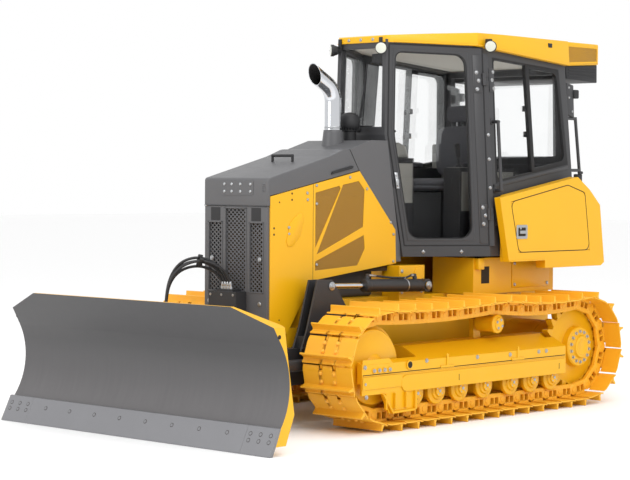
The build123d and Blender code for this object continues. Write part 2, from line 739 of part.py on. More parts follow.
lamp_radius = 44.0
with BuildPart() as work_lamps:
    for x, y, z in ((roof_front_x + 12, 238, cab_top_z - 73), (roof_front_x + 12, -238, cab_top_z - 73),
                    (-712, roof_half + 52, cab_top_z - 41), (-712, -roof_half - 52, cab_top_z - 41)):
        add(rod((x, y, z), (x + 58, y, z), lamp_radius))
    for y in (205, -205):
        add(block((roof_front_x + seat_gap, y - 15, cab_top_z - 80),
                  (roof_front_x + 13, y + 15, cab_top_z + 15)))
    for y0, y1 in ((roof_half + seat_gap, roof_half + 50), (-roof_half - 50, -roof_half - seat_gap)):
        add(block((-700, y0, cab_top_z - 20), (-670, y1, cab_top_z + 18)))
save(work_lamps.part, "work_lamps")

with BuildPart() as operator_seat:
    add(block((-1180, -240, 1640), (-640, 240, 1750)))
    add(block((-1250, -240, 1760), (-1130, 240, 2330)))
save(operator_seat.part, "operator_seat")

with BuildPart() as seat_base:
    add(block((-1150, -200, cab_floor_z + seat_gap), (-700, 200, 1640 - seat_gap)))
    add(block((-1300, -200, cab_floor_z + seat_gap), (-1250 - seat_gap, 200, 2300)))
save(seat_base.part, "seat_base")

with BuildPart() as consoles:
    for y0, y1 in ((290, 450), (-450, -290)):
        add(block((-1300, y0, cab_floor_z + seat_gap), (-620, y1, 1830)))
    add(block((-370, -200, cab_floor_z + seat_gap), (-160, 200, 1900)))
save(consoles.part, "consoles")

# ---------------------------------------------------------------- rear tank
tank_outline = [(-667, 1604), (-1666, 1766), (-1831, 1664), (-1971, 1544), (-2036, 1086),
                (-1990, 1061), (-1242, 1061), (-1242, 1119), (-785, 1119)]
service_sheet = 20.0
service_outline = [(-800, 1575), (-1533, 1705), (-1763, 1645), (-1836, 1187), (-905, 1187)]
pocket_depth = service_sheet + seat_gap
with BuildPart() as rear_tank:
    add(slab(tank_outline, 0, 2 * tank_half))
    add(block((cab_rear_low_x - 7, -cab_half - 12, 1000), (0, cab_half + 12, 2000)),
        mode=Mode.SUBTRACT)
    add(block((cab_corner_x - 115, -cab_half - 45, 1000), (0, cab_half + 45, 2000)),
        mode=Mode.SUBTRACT)
    add(block((-1964, -605, 900), (-1000, 605, box_top_z + seat_gap)), mode=Mode.SUBTRACT)
    for hand in (1, -1):
        add(slab(service_outline, hand * tank_half, 2 * pocket_depth), mode=Mode.SUBTRACT)
save(rear_tank.part, "rear_tank")

with BuildPart() as service_door_left:
    with BuildSketch(side(tank_half)):
        Polygon(*service_outline, align=None)
        offset(amount=-4, kind=Kind.INTERSECTION, mode=Mode.REPLACE)
    extrude(amount=service_sheet)
save_pair(service_door_left.part, "service_door")

rail_radius = 13.0
rail_x = cab_corner_x - 99
rail_reach = 60.0


def rail_wall_y(z):
    """Where a rail's foot stands on the cab's side wall."""
    return cab_half - side_lean * (z - cab_floor_z - rail_radius) + seat_gap


with BuildPart() as handrails:
    for hand in (1, -1):
        y = hand * 585
        for z, x in ((2235, -1922), (1820, -1984)):
            add(rod((cab_rear_x(z) - rear_lean * rail_radius - seat_gap, y, z), (x, y, z),
                    rail_radius))
        add(rod((-1920.2, y, 2247), (-1985.8, y, 1808), rail_radius))
        # grab handle beside the door
        for z in (1660, 2180):
            foot_y = rail_wall_y(z)
            add(rod((rail_x, hand * foot_y, z), (rail_x, hand * (foot_y + rail_reach), z),
                    rail_radius))
        add(rod((rail_x, hand * (rail_wall_y(1650) + rail_reach), 1650),
                (rail_x, hand * (rail_wall_y(2190) + rail_reach), 2190), rail_radius))
save(handrails.part, "handrails")

# ---------------------------------------------------------------- push frame
yoke_x = 1784.0                 # upright pivot between the push frame and the yoke
cross_front_x = 1540.0
cross_rear_x = 1450.0
nose_rear_x = 1525.0            # the cross member bows forwards here to clear the radiator guard
nose_low_z, nose_high_z = 400.0, 500.0
hose_post_x, hose_post_y, hose_post_z = 1775.0, -262.0, 720.0
yoke_pin_radius = 45.0
tilt_z = 450.0
angle_y = 540.0                 # angle cylinders' line, and their rods' eyes on the yoke
angle_z = 450.0
angle_eye_half = 22.0
angle_rear_x = 880.0

with BuildPart() as push_frame:
    for hand in (1, -1):
        low_y, high_y = sorted((hand * arm_inner_y, hand * arm_outer_y))
        add(slab([(arm_pivot_x, arm_pivot_z + arm_eye_radius),
                  (arm_pivot_x, arm_pivot_z - arm_eye_radius), (-300, 340), (1380, 300),
                  (cross_front_x, 330), (cross_front_x, 560), (1180, 560), (600, 500)],
                 (low_y + high_y) / 2, high_y - low_y))
        add(rod((arm_pivot_x, low_y, arm_pivot_z), (arm_pivot_x, high_y, arm_pivot_z),
                arm_eye_radius))
        add(rod((arm_pivot_x, low_y, arm_pivot_z), (arm_pivot_x, high_y, arm_pivot_z),
                arm_pin_radius + running_fit), mode=Mode.SUBTRACT)
        # tower that the lift rod pulls on: two plates with the rod's eye between them
        for offset_y in (-(lift_eye_half + 12), lift_eye_half + 12):
            add(slab([(738, 520), (738, 843), (880, 1030), (1035, 1030), (1140, 685),
                      (1200, 540)], hand * lift_y + offset_y, 14))
        foot_low, foot_high = sorted((hand * (lift_y - lift_eye_half - 19),
                                      hand * (lift_y + lift_eye_half + 19)))
        add(block((780, foot_low, 505), (1150, foot_high, 640)))
        # ears and pin of the angle cylinder
        low_y, high_y = sorted((hand * (arm_outer_y - 10), hand * (angle_y + 40)))
        for z in (angle_z + angle_eye_half + 4, angle_z - angle_eye_half - 4 - 20):
            add(block((angle_rear_x - 42, low_y, z), (angle_rear_x + 42, high_y, z + 20)))
        add(rod((angle_rear_x, hand * angle_y, angle_z - angle_eye_half - 20),
                (angle_rear_x, hand * angle_y, angle_z + angle_eye_half + 20), 20))
    with BuildSketch(Plane.XY.offset(330)):
        Polygon((cross_rear_x, arm_inner_y + 10), (cross_rear_x, 330), (nose_rear_x, 200),
                (nose_rear_x, -200), (cross_rear_x, -330), (cross_rear_x, -arm_inner_y - 10),
                (cross_front_x, -arm_inner_y - 10), (cross_front_x + 60, -200),
                (cross_front_x + 60, 200), (cross_front_x, arm_inner_y + 10), align=None)
    extrude(amount=230)
    # post that the hoses come down to
    with BuildSketch(side(hose_post_y)):
        Polygon((cross_front_x - 40, 500), (cross_front_x + 30, 500), (hose_post_x + 45, 640),
                (hose_post_x + 45, hose_post_z), (hose_post_x - 45, hose_post_z),
                (hose_post_x - 45, 660), align=None)
    extrude(amount=25, both=True)
    # nose with the upright pin
    with BuildSketch(Plane.XY.offset(nose_low_z)):
        Polygon((cross_front_x, -260), (yoke_x, -85), (yoke_x, 85), (cross_front_x, 260), align=None)
        with Locations((yoke_x, 0)):
            Circle(85)
    extrude(amount=nose_high_z - nose_low_z)
    with BuildSketch(Plane.XY.offset(nose_low_z - 60)):
        with Locations((yoke_x, 0)):
            Circle(yoke_pin_radius)
    extrude(amount=nose_high_z - nose_low_z + 120)
save(push_frame.part, "push_frame")

# ---------------------------------------------------------------- lift cylinders
with BuildPart() as lift_barrel_left:
    lift_line = Vector(lift_front_x - lift_rear_x, 0, lift_front_z - lift_rear_z)
    toward = lift_line.normalized()
    rear = Vector(lift_rear_x, lift_y, lift_rear_z)
    front = Vector(lift_front_x, lift_y, lift_front_z)
    barrel_end = rear + toward * 690
    add(rod(tuple(rear + toward * 60), tuple(barrel_end), barrel_radius))
    add(rod((lift_rear_x, lift_y - lift_eye_half, lift_rear_z),
            (lift_rear_x, lift_y + lift_eye_half, lift_rear_z), 48))
    add(rod(tuple(rear + toward * 30), tuple(rear + toward * 70), 28))
    add(rod((lift_rear_x, lift_y - 40, lift_rear_z), (lift_rear_x, lift_y + 40, lift_rear_z),
            lift_pin_radius + running_fit), mode=Mode.SUBTRACT)
    add(rod(tuple(rear + toward * 150), tuple(barrel_end + toward), piston_radius + running_fit),
        mode=Mode.SUBTRACT)
save_pair(lift_barrel_left.part, "lift_barrel")

with BuildPart() as lift_rod_left:
    add(rod(tuple(rear + toward * 330), tuple(front - toward * 30), piston_radius))
    add(rod((lift_front_x, lift_y - lift_eye_half, lift_front_z),
            (lift_front_x, lift_y + lift_eye_half, lift_front_z), 42))
save_pair(lift_rod_left.part, "lift_rod")

# ---------------------------------------------------------------- yoke
beam_rear_x = yoke_x + 100
beam_front_x = beam_rear_x + 80
ear = 55.0
tilt_pin_radius = 60.0
tilt_x = 2050.0                 # tilt cylinder, across the machine behind the blade
tilt_rear_y = -440.0
tilt_front_y = 200.0
tilt_cylinder_z = 690.0
tilt_eye_half = 22.0
with BuildPart() as yoke:
    add(block((beam_rear_x, -600, 350), (beam_front_x, 600, 550)))
    for z in (nose_high_z + 2, nose_low_z - 2 - ear):
        with BuildSketch(Plane.XY.offset(z)):
            with Locations((yoke_x, 0)):
                Circle(85)
            Polygon((yoke_x, -85), (beam_rear_x + 10, -140), (beam_rear_x + 10, 140),
                    (yoke_x, 85), align=None)
        extrude(amount=ear)
    with BuildSketch(Plane.XY.offset(nose_low_z - 100)):
        with Locations((yoke_x, 0)):
            Circle(yoke_pin_radius + running_fit)
    extrude(amount=300, mode=Mode.SUBTRACT)
    for hand in (1, -1):
        low_y, high_y = sorted((hand * (angle_y - 45), hand * (angle_y + 45)))
        for z in (angle_z + angle_eye_half + 4, angle_z - angle_eye_half - 4 - 20):
            add(block((yoke_x - 45, low_y, z), (beam_rear_x + 10, high_y, z + 20)))
    # pin that the blade tilts on
    add(rod((beam_front_x - 10, 0, tilt_z), (beam_front_x + 130, 0, tilt_z), tilt_pin_radius))
    # post of the tilt cylinder
    for x in (tilt_x - tilt_eye_half - 4 - 14, tilt_x + tilt_eye_half + 4):
        add(block((x, tilt_rear_y - 40, 630), (x + 14, tilt_rear_y + 40, tilt_cylinder_z + 40)))
    add(block((beam_rear_x, tilt_rear_y - 40, 540), (tilt_x + 40, tilt_rear_y + 40, 640)))
    add(rod((tilt_x - 40, tilt_rear_y, tilt_cylinder_z), (tilt_x + 40, tilt_rear_y, tilt_cylinder_z),
            16))
save(yoke.part, "yoke")

# ---------------------------------------------------------------- angle cylinders
angle_barrel_end_x = 1495.0
with BuildPart() as angle_barrel_left:
    add(rod((angle_rear_x + 50, angle_y, angle_z), (angle_barrel_end_x, angle_y, angle_z), 42))
    add(rod((angle_rear_x, angle_y, angle_z - 24), (angle_rear_x, angle_y, angle_z + 24), 42))
    add(rod((angle_rear_x + 20, angle_y, angle_z), (angle_rear_x + 60, angle_y, angle_z), 24))
    add(rod((angle_rear_x, angle_y, angle_z - 40), (angle_rear_x, angle_y, angle_z + 40),
            20 + running_fit), mode=Mode.SUBTRACT)
    add(rod((angle_rear_x + 80, angle_y, angle_z), (1600, angle_y, angle_z),
            18 + running_fit), mode=Mode.SUBTRACT)
save_pair(angle_barrel_left.part, "angle_barrel")

with BuildPart() as angle_rod_left:
    add(rod((1180, angle_y, angle_z), (yoke_x - 20, angle_y, angle_z), 18))
    add(rod((yoke_x, angle_y, angle_z - angle_eye_half),
            (yoke_x, angle_y, angle_z + angle_eye_half), 38))
save_pair(angle_rod_left.part, "angle_rod")

# ---------------------------------------------------------------- blade
blade_half_bottom = 1343.0
blade_half_shoulder = 1305.0
blade_half_top = 987.0
shoulder_z = 805.0
blade_top_z = 925.0
edge_top_x, edge_top_z = 2248.0, 163.0
face_plate = 12.0
end_plate = 16.0

face_low = (edge_top_x, edge_top_z)
face_middle = (2150.0, 455.0)
face_bend = (2209.0, 682.0)
face_top = (blade_tip_x, blade_top_z)


def blade_front(margin_side, margin_top):
    """The blade's outline seen from the front, inset at its sides and top."""
    half_b, half_s = blade_half_bottom - margin_side, blade_half_shoulder - margin_side
    half_t, top = blade_half_top - margin_side / 2, blade_top_z - margin_top
    with BuildPart() as made:
        with BuildSketch(Plane.YZ.offset(1500)):
            Polygon((half_b, -50), (half_s, shoulder_z - margin_top), (half_t, top), (-half_t, top),
                    (-half_s, shoulder_z - margin_top), (-half_b, -50), align=None)
        extrude(amount=1500)
    return made.part


with BuildPart() as blade_pocket:
    with BuildSketch(Plane.XZ):
        with BuildLine():
            inner = ThreePointArc((edge_top_x - 28, edge_top_z), (face_middle[0] - face_plate, 455),
                                  (face_bend[0] - face_plate, face_bend[1] + 6))
            Polyline(inner @ 1, (face_top[0] - 62, 880), (2000, 880), (2000, 40), (2180, 40),
                     (2180, edge_top_z), inner @ 0)
        make_face()
    extrude(amount=blade_half_bottom, both=True)
    add(blade_front(end_plate, 14), mode=Mode.INTERSECT)

with BuildPart() as blade:
    with BuildSketch(Plane.XZ):
        with BuildLine():
            curve = ThreePointArc(face_low, face_middle, face_bend)
            Polyline(curve @ 1, face_top, (face_top[0] - 30, blade_top_z), (2184, 820), (2151, 530),
                     (2115, 250), (2200, 60), (2296, 60), curve @ 0)
        make_face()
    extrude(amount=blade_half_bottom, both=True)
    add(blade_front(0, 0), mode=Mode.INTERSECT)
    add(blade_pocket.part, mode=Mode.SUBTRACT)
    # ribs and the hub that carries the blade
    for y in (-980, -640, -290, 290, 640, 980):
        with BuildSketch(side(y)):
            with BuildLine():
                rib = ThreePointArc((edge_top_x - 20, edge_top_z), (face_middle[0] - 4, 455),
                                    (face_bend[0] - 4, face_bend[1] + 6))
                Polyline(rib @ 1, (2240, 760), (2112, 700), (2112, 250), (2180, edge_top_z), rib @ 0)
            make_face()
        extrude(amount=7, both=True)
    add(block((2060, -120, tilt_z - 120), (2144, 120, tilt_z + 120)))
    add(block((1975, -110, tilt_z - 110), (2065, 110, tilt_z + 110)))
    add(rod((1900, 0, tilt_z), (2110, 0, tilt_z), tilt_pin_radius + running_fit), mode=Mode.SUBTRACT)
    # lug of the tilt rod
    for x in (tilt_x - tilt_eye_half - 4 - 14, tilt_x + tilt_eye_half + 4):
        add(block((x, tilt_front_y - 40, 630), (x + 14, tilt_front_y + 40, tilt_cylinder_z + 40)))
    add(block((2010, tilt_front_y - 40, 585), (2168, tilt_front_y + 40, 640)))
save(blade.part, "blade")

bit_y = 1075.0
with BuildPart() as cutting_edge:
    for y0, y1 in ((-bit_y + 1, bit_y - 1), (bit_y + 1, blade_half_bottom),
                   (-blade_half_bottom, -bit_y - 1)):
        with BuildSketch(side(y0)):
            Polygon((edge_top_x + seat_gap, edge_top_z + 12), (edge_top_x + 20, edge_top_z + 12),
                    (blade_tip_x, 8), (blade_tip_x, 0), (blade_tip_x - 26, 0), (2296 + seat_gap, 60),
                    align=None)
        extrude(amount=-(y1 - y0))
save(cutting_edge.part, "cutting_edge")

# ---------------------------------------------------------------- tilt cylinder
with BuildPart() as tilt_barrel:
    add(rod((tilt_x, tilt_rear_y + 45, tilt_cylinder_z), (tilt_x, -20, tilt_cylinder_z), 40))
    add(rod((tilt_x - 22, tilt_rear_y, tilt_cylinder_z), (tilt_x + 22, tilt_rear_y, tilt_cylinder_z), 34))
    add(rod((tilt_x, tilt_rear_y + 20, tilt_cylinder_z), (tilt_x, tilt_rear_y + 50, tilt_cylinder_z), 20))
    add(rod((tilt_x - 40, tilt_rear_y, tilt_cylinder_z), (tilt_x + 40, tilt_rear_y, tilt_cylinder_z),
            16 + running_fit), mode=Mode.SUBTRACT)
    add(rod((tilt_x, tilt_rear_y + 100, tilt_cylinder_z), (tilt_x, 0, tilt_cylinder_z),
            18 + running_fit), mode=Mode.SUBTRACT)
save(tilt_barrel.part, "tilt_barrel")

with BuildPart() as tilt_rod:
    add(rod((tilt_x, -250, tilt_cylinder_z), (tilt_x, tilt_front_y - 20, tilt_cylinder_z), 18))
    add(rod((tilt_x - 22, tilt_front_y, tilt_cylinder_z), (tilt_x + 22, tilt_front_y, tilt_cylinder_z), 32))
save(tilt_rod.part, "tilt_rod")

# ---------------------------------------------------------------- hoses
# Four hoses leave a manifold on the radiator guard, arch forwards and come down to the push
# frame's post. Each route is (x, y, z); neighbours lie side by side under one clamp.
hose_radius = 10.0
manifold_x0, manifold_x1 = hood_front_x + seat_gap, 1440.0
with BuildPart() as hose_manifold:
    add(block((manifold_x0, -160, 790), (manifold_x1, 110, 945)))
    add(block((manifold_x0, -100, 940), (manifold_x1 - 20, 60, 960)))
save(hose_manifold.part, "hose_manifold")

hose_routes = (
    ((1390, -12, 961), (1393, -14, 1040), (1450, -48, 1130), (1560, -118, 1192), (1668, -196, 1160),
     (1735, -238, 1060), (1762, -258, 900), (1764, -260, 720.4)),
    ((1390, -37, 961), (1394, -40, 1030), (1448, -76, 1112), (1548, -142, 1165), (1652, -220, 1132),
     (1716, -264, 1040), (1740, -281, 890), (1742, -283, 720.4)),
    ((1390, 13, 961), (1393, 11, 1035), (1455, -22, 1118), (1570, -93, 1170), (1684, -172, 1132),
     (1756, -216, 1040), (1784, -236, 890), (1786, -238, 720.4)),
    ((1390, -62, 961), (1394, -66, 1020), (1440, -98, 1085), (1530, -165, 1128), (1630, -243, 1098),
     (1694, -288, 1010), (1717, -302, 880), (1719, -304, 720.4)),
)


def hose(route):
    """A round tube along straight runs joined by arcs as large as the runs allow."""
    points = [Vector(*point) for point in route]
    radii = []
    for before, corner, after in zip(points, points[1:], points[2:]):
        first, second = corner - before, after - corner
        half = math.radians(first.get_angle(second)) / 2
        radii.append(0.45 * min(first.length, second.length) / math.tan(half))
    with BuildPart() as made:
        with BuildLine():
            path = FilletPolyline(*route, radius=radii)
        with BuildSketch(Plane(origin=route[0], z_dir=path % 0)):
            Circle(hose_radius)
        sweep(path=path)
    section = math.pi * hose_radius ** 2
    print("hose", "length", round(path.length), "least radius", round(min(radii)),
          "volume over section times length", round(made.part.volume / section / path.length, 4))
    return made.part


for number, route in enumerate(hose_routes, start=1):
    save(hose(route), f"hose_{number}")
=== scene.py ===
"""A crawler bulldozer with an enclosed cab and an angling, tilting blade, dressed around its CAD
frame. Metres; +X forwards, +Y to the operator's left, +Z up."""
import math

import bmesh
import bpy
from mathutils import Matrix, Vector


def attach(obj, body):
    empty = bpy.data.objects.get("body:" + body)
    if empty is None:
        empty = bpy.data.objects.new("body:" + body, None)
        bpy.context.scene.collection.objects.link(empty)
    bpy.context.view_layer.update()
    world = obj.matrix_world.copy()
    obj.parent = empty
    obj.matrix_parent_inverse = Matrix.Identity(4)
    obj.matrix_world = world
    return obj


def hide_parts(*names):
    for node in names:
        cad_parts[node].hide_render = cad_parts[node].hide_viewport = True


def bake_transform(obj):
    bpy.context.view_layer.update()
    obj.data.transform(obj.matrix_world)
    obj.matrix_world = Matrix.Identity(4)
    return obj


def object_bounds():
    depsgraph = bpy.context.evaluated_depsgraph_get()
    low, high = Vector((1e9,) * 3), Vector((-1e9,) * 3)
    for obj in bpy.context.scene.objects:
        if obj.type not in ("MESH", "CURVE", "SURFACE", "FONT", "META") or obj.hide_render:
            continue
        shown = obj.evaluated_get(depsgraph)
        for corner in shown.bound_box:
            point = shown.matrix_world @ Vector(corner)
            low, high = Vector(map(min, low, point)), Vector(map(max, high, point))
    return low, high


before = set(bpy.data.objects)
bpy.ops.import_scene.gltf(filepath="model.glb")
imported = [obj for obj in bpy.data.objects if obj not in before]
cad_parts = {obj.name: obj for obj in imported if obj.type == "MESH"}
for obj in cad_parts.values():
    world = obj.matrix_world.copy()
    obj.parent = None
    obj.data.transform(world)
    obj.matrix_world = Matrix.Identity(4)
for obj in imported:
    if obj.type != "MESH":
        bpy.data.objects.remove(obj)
cad_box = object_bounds()

# ------------------------------------------------------------------ camera, floor and light
# A long lens at the level of the bonnet looks at the front left corner. The floor is a pale
# flat sheet, lit by three large soft lamps and the white room.
def stand(name, data):
    """A new object in the scene."""
    made = bpy.data.objects.new(name, data)
    bpy.context.scene.collection.objects.link(made)
    return made


def new_material(name):
    """A material with nodes, and its shader."""
    material = bpy.data.materials.new(name)
    material.use_nodes = True
    return material, material.node_tree.nodes["Principled BSDF"]


def feed(tree, node, inputs):
    """Give a node's inputs their values, or links from other nodes' outputs."""
    for key, value in inputs.items():
        socket = node.inputs[key]
        if isinstance(value, bpy.types.NodeSocket):
            tree.links.new(value, socket)
        else:
            socket.default_value = value


camera_data = bpy.data.cameras.new("camera")
camera_data.lens = 112.1
camera_data.sensor_width = 36
camera_data.clip_end = 200
camera = stand("camera", camera_data)
camera_place = Vector((11.056, 9.843, 1.744))
camera_yaw, camera_pitch, camera_roll = (math.radians(a) for a in (223.027, -1.806, 0.368))
look = Vector((math.cos(camera_yaw) * math.cos(camera_pitch),
               math.sin(camera_yaw) * math.cos(camera_pitch), math.sin(camera_pitch)))
level = Vector((math.sin(camera_yaw), -math.cos(camera_yaw), 0))
upright = level.cross(look)
right = level * math.cos(camera_roll) + upright * math.sin(camera_roll)
top = upright * math.cos(camera_roll) - level * math.sin(camera_roll)
camera.matrix_world = (Matrix.Translation(camera_place)
                       @ Matrix((right, top, -look)).transposed().to_4x4())
bpy.context.scene.camera = camera

world = bpy.data.worlds.new("white room")
world.use_nodes = True
feed(world.node_tree, world.node_tree.nodes["Background"],
     {"Color": (1, 1, 1, 1), "Strength": 1.0})
bpy.context.scene.world = world
bpy.context.scene.view_settings.view_transform = "Standard"

for name, place, aim, size, power in (
        ("key lamp", (5.0, 9.0, 8.5), (0, 0, 1.0), 6.0, 520),
        ("front lamp", (12.0, -2.0, 4.5), (1.5, 0, 1.0), 5.0, 330),
        ("top lamp", (-1.0, 0.5, 9.0), (0, 0, 1.0), 7.0, 200)):
    lamp_data = bpy.data.lights.new(name, "AREA")
    lamp_data.shape = "SQUARE"
    lamp_data.size = size
    lamp_data.energy = power
    lamp = stand(name, lamp_data)
    lamp.location = place
    lamp.rotation_euler = (Vector(aim) - Vector(place)).to_track_quat("-Z", "Y").to_euler()

floor_mesh = bmesh.new()
bmesh.ops.create_grid(floor_mesh, x_segments=1, y_segments=1, size=60)
floor_data = bpy.data.meshes.new("floor")
floor_mesh.to_mesh(floor_data)
floor_mesh.free()
floor = stand("floor", floor_data)
floor.location.z = -0.001
floor_paper, shader = new_material("floor paper")
feed(floor_paper.node_tree, shader, {"Base Color": (0.97, 0.97, 0.97, 1), "Roughness": 0.9})
floor_data.materials.append(floor_paper)

# ------------------------------------------------------------------ hoses
# Four braided rubber hoses for the blade's cylinders, crimped into steel fittings at both ends
# and banded together by a moulded clamp at the top of their arch.
def node_group(name, inputs, outputs):
    """A shader node group with these sockets, its inputs' values and its output node."""
    group = bpy.data.node_groups.new(name, "ShaderNodeTree")
    for socket, kind, default in inputs:
        made = group.interface.new_socket(socket, in_out="INPUT", socket_type=f"NodeSocket{kind}")
        made.default_value = default
    for socket, kind in outputs:
        group.interface.new_socket(socket, in_out="OUTPUT", socket_type=f"NodeSocket{kind}")
    given = group.nodes.new("NodeGroupInput").outputs
    return group, given, group.nodes.new("NodeGroupOutput")


def put(tree, kind, inputs=None, **settings):
    """Add a shader node, set its properties and feed its inputs."""
    node = tree.nodes.new(f"ShaderNode{kind}")
    for key, value in settings.items():
        setattr(node, key, value)
    feed(tree, node, inputs or {})
    return node


def maths(tree, operation, a, b=0.0):
    """One Math node's result."""
    return put(tree, "Math", {0: a, 1: b}, operation=operation).outputs["Value"]


# paint and casting skin: edges brightened as a painted highlight, partly edge wear, a slow drift of
# tone, and a fine orange peel
skin, given, result = node_group("painted skin", (
    ("Colour", "Color", (1, 1, 1, 1)), ("Highlight And Wear Colour", "Color", (1, 1, 1, 1)),
    ("Highlight And Wear Amount", "Float", 0.3), ("Edge Width", "Float", 0.004), ("Drift", "Float", 0.05),
    ("Roughness", "Float", 0.4), ("Grain Scale", "Float", 300.0), ("Dust", "Float", 0.1)),
    (("Colour", "Color"), ("Roughness", "Float"), ("Height", "Float"), ("Rounded", "Vector")))
spot = put(skin, "TexCoord").outputs["Object"]
slow = put(skin, "TexNoise", {"Vector": spot, "Scale": 2.3, "Detail": 3.0, "Roughness": 0.55})
cloud = put(skin, "TexNoise", {"Vector": spot, "Scale": 17.0, "Detail": 4.0, "Roughness": 0.6})
fine = put(skin, "TexNoise", {"Vector": spot, "Scale": given["Grain Scale"], "Detail": 2.0})
softened = put(skin, "Bevel", {"Radius": given["Edge Width"]}, samples=4).outputs["Normal"]
alike = put(skin, "VectorMath", {0: softened, 1: put(skin, "NewGeometry").outputs["Normal"]},
            operation="DOT_PRODUCT")
# edges found from the Bevel normal, to be brightened: a painted highlight, partly edge wear
edge = put(skin, "MapRange", {"Value": alike.outputs["Value"], "From Min": 0.995,
                              "From Max": 0.85, "To Min": 0.0, "To Max": 1.0})
highlight_and_wear_mask = maths(skin, "MULTIPLY", edge.outputs["Result"], cloud.outputs["Fac"])
drift = maths(skin, "MULTIPLY", maths(skin, "ADD", slow.outputs["Fac"], -0.5), given["Drift"])
tinted = put(skin, "VectorMath", {0: given["Colour"], "Scale": maths(skin, "ADD", drift, 1.0)},
             operation="SCALE")
with_highlight_and_wear = put(skin, "Mix", {"Factor": maths(skin, "MULTIPLY", highlight_and_wear_mask, given["Highlight And Wear Amount"]),
                         "A": tinted.outputs["Vector"], "B": given["Highlight And Wear Colour"]},
           data_type="RGBA")
dusty = maths(skin, "MULTIPLY", cloud.outputs["Fac"], given["Dust"])
feed(skin, result, {"Colour": with_highlight_and_wear.outputs["Result"], "Height": fine.outputs["Fac"],
                    "Roughness": maths(skin, "ADD", dusty, given["Roughness"]),
                    "Rounded": softened})


def linear(red, green, blue):
    """A colour given as 0-255 screen values."""
    def channel(c):
        c /= 255
        return c / 12.92 if c <= 0.04045 else ((c + 0.055) / 1.055) ** 2.4
    return channel(red), channel(green), channel(blue), 1


def finish_of(name, colour, highlight_and_wear_colour, highlight_and_wear_amount=0.3, edge_width=0.004, drift=0.06,
              roughness=0.4, grain=300.0, dust=0.1, bump=0.0003, metal=0.0, coat=0.0):
    """A material whose skin comes from the painted skin group, with a painted highlight, partly wear,
    on its edges.
    """
    material, shader = new_material(name)
    tree = material.node_tree
    surface = put(tree, "Group", {
        "Colour": colour, "Highlight And Wear Colour": highlight_and_wear_colour, "Highlight And Wear Amount": highlight_and_wear_amount,
        "Edge Width": edge_width, "Drift": drift, "Roughness": roughness, "Grain Scale": grain,
        "Dust": dust}, node_tree=skin).outputs
    relief = put(tree, "Bump", {"Height": surface["Height"], "Strength": 0.6, "Distance": bump,
                                "Normal": surface["Rounded"]})
    feed(tree, shader, {"Base Color": surface["Colour"], "Roughness": surface["Roughness"],
                        "Normal": relief.outputs["Normal"], "Metallic": metal,
                        "Coat Weight": coat, "Coat Roughness": 0.12})
    return material


def dress(material, *names):
    """Give CAD nodes their material."""
    for name in names:
        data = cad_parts[name].data
        data.materials.clear()
        data.materials.append(material)


def piece(name, shape, material, body="root", sharp=35, replaces=()):
    """Turn a bmesh in place into an object that moves with a body."""
    bmesh.ops.remove_doubles(shape, verts=shape.verts, dist=1e-5)
    bmesh.ops.recalc_face_normals(shape, faces=shape.faces)
    data = bpy.data.meshes.new(name)
    shape.to_mesh(data)
    shape.free()
    data.shade_smooth()
    data.set_sharp_from_angle(angle=math.radians(sharp))
    data.materials.append(material)
    made = stand(name, data)
    if body:
        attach(made, body)
    if replaces:
        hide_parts(*replaces)
    return made


def round_bar(shape, start, end, radius, end_radius=None, segments=20, bevel=0.0):
    """Add a closed round bar or cone between two points."""
    start, end = Vector(start), Vector(end)
    run = end - start
    verts = bmesh.ops.create_cone(shape, cap_ends=True, segments=segments, radius1=radius,
                                  radius2=radius if end_radius is None else end_radius,
                                  depth=run.length)["verts"]
    if bevel:
        rims = [e for e in {e for v in verts for e in v.link_edges}
                if len({round(v.co.z, 6) for v in e.verts}) == 1]
        made = bmesh.ops.bevel(shape, geom=rims, offset=bevel, offset_type="OFFSET", segments=2,
                               profile=0.5, affect="EDGES", material=-1)
        rounded_rims = {v for f in made["faces"] for v in f.verts}
        verts = list({v for w in rounded_rims for f in w.link_faces for v in f.verts})
    turn = run.to_track_quat("Z", "Y").to_matrix().to_4x4()
    bmesh.ops.transform(shape, matrix=Matrix.Translation((start + end) / 2) @ turn, verts=verts)


def hex_head(shape, place, out, across, height):
    """Add a hexagon bolt head with a washer under it, on a face whose outward direction is out."""
    place, out = Vector(place), Vector(out).normalized()
    round_bar(shape, place - out * 0.002, place + out * 0.003, across * 0.72, segments=12)
    round_bar(shape, place, place + out * height, across * 0.56, across * 0.5, segments=6)


def meshed(curve):
    """The mesh that a curve object gives."""
    bpy.context.view_layer.update()
    return bpy.data.meshes.new_from_object(
        curve.evaluated_get(bpy.context.evaluated_depsgraph_get()))


rubber = finish_of("hose rubber", linear(34, 34, 36), linear(80, 80, 84), highlight_and_wear_amount=0.2,
                   roughness=0.42, grain=900, bump=0.0006, dust=0.15)
steel_fitting = finish_of("zinc plated steel", linear(176, 178, 180), linear(226, 226, 228),
                          roughness=0.28, metal=1.0, grain=500, bump=0.0001)
hose_radius = 0.010
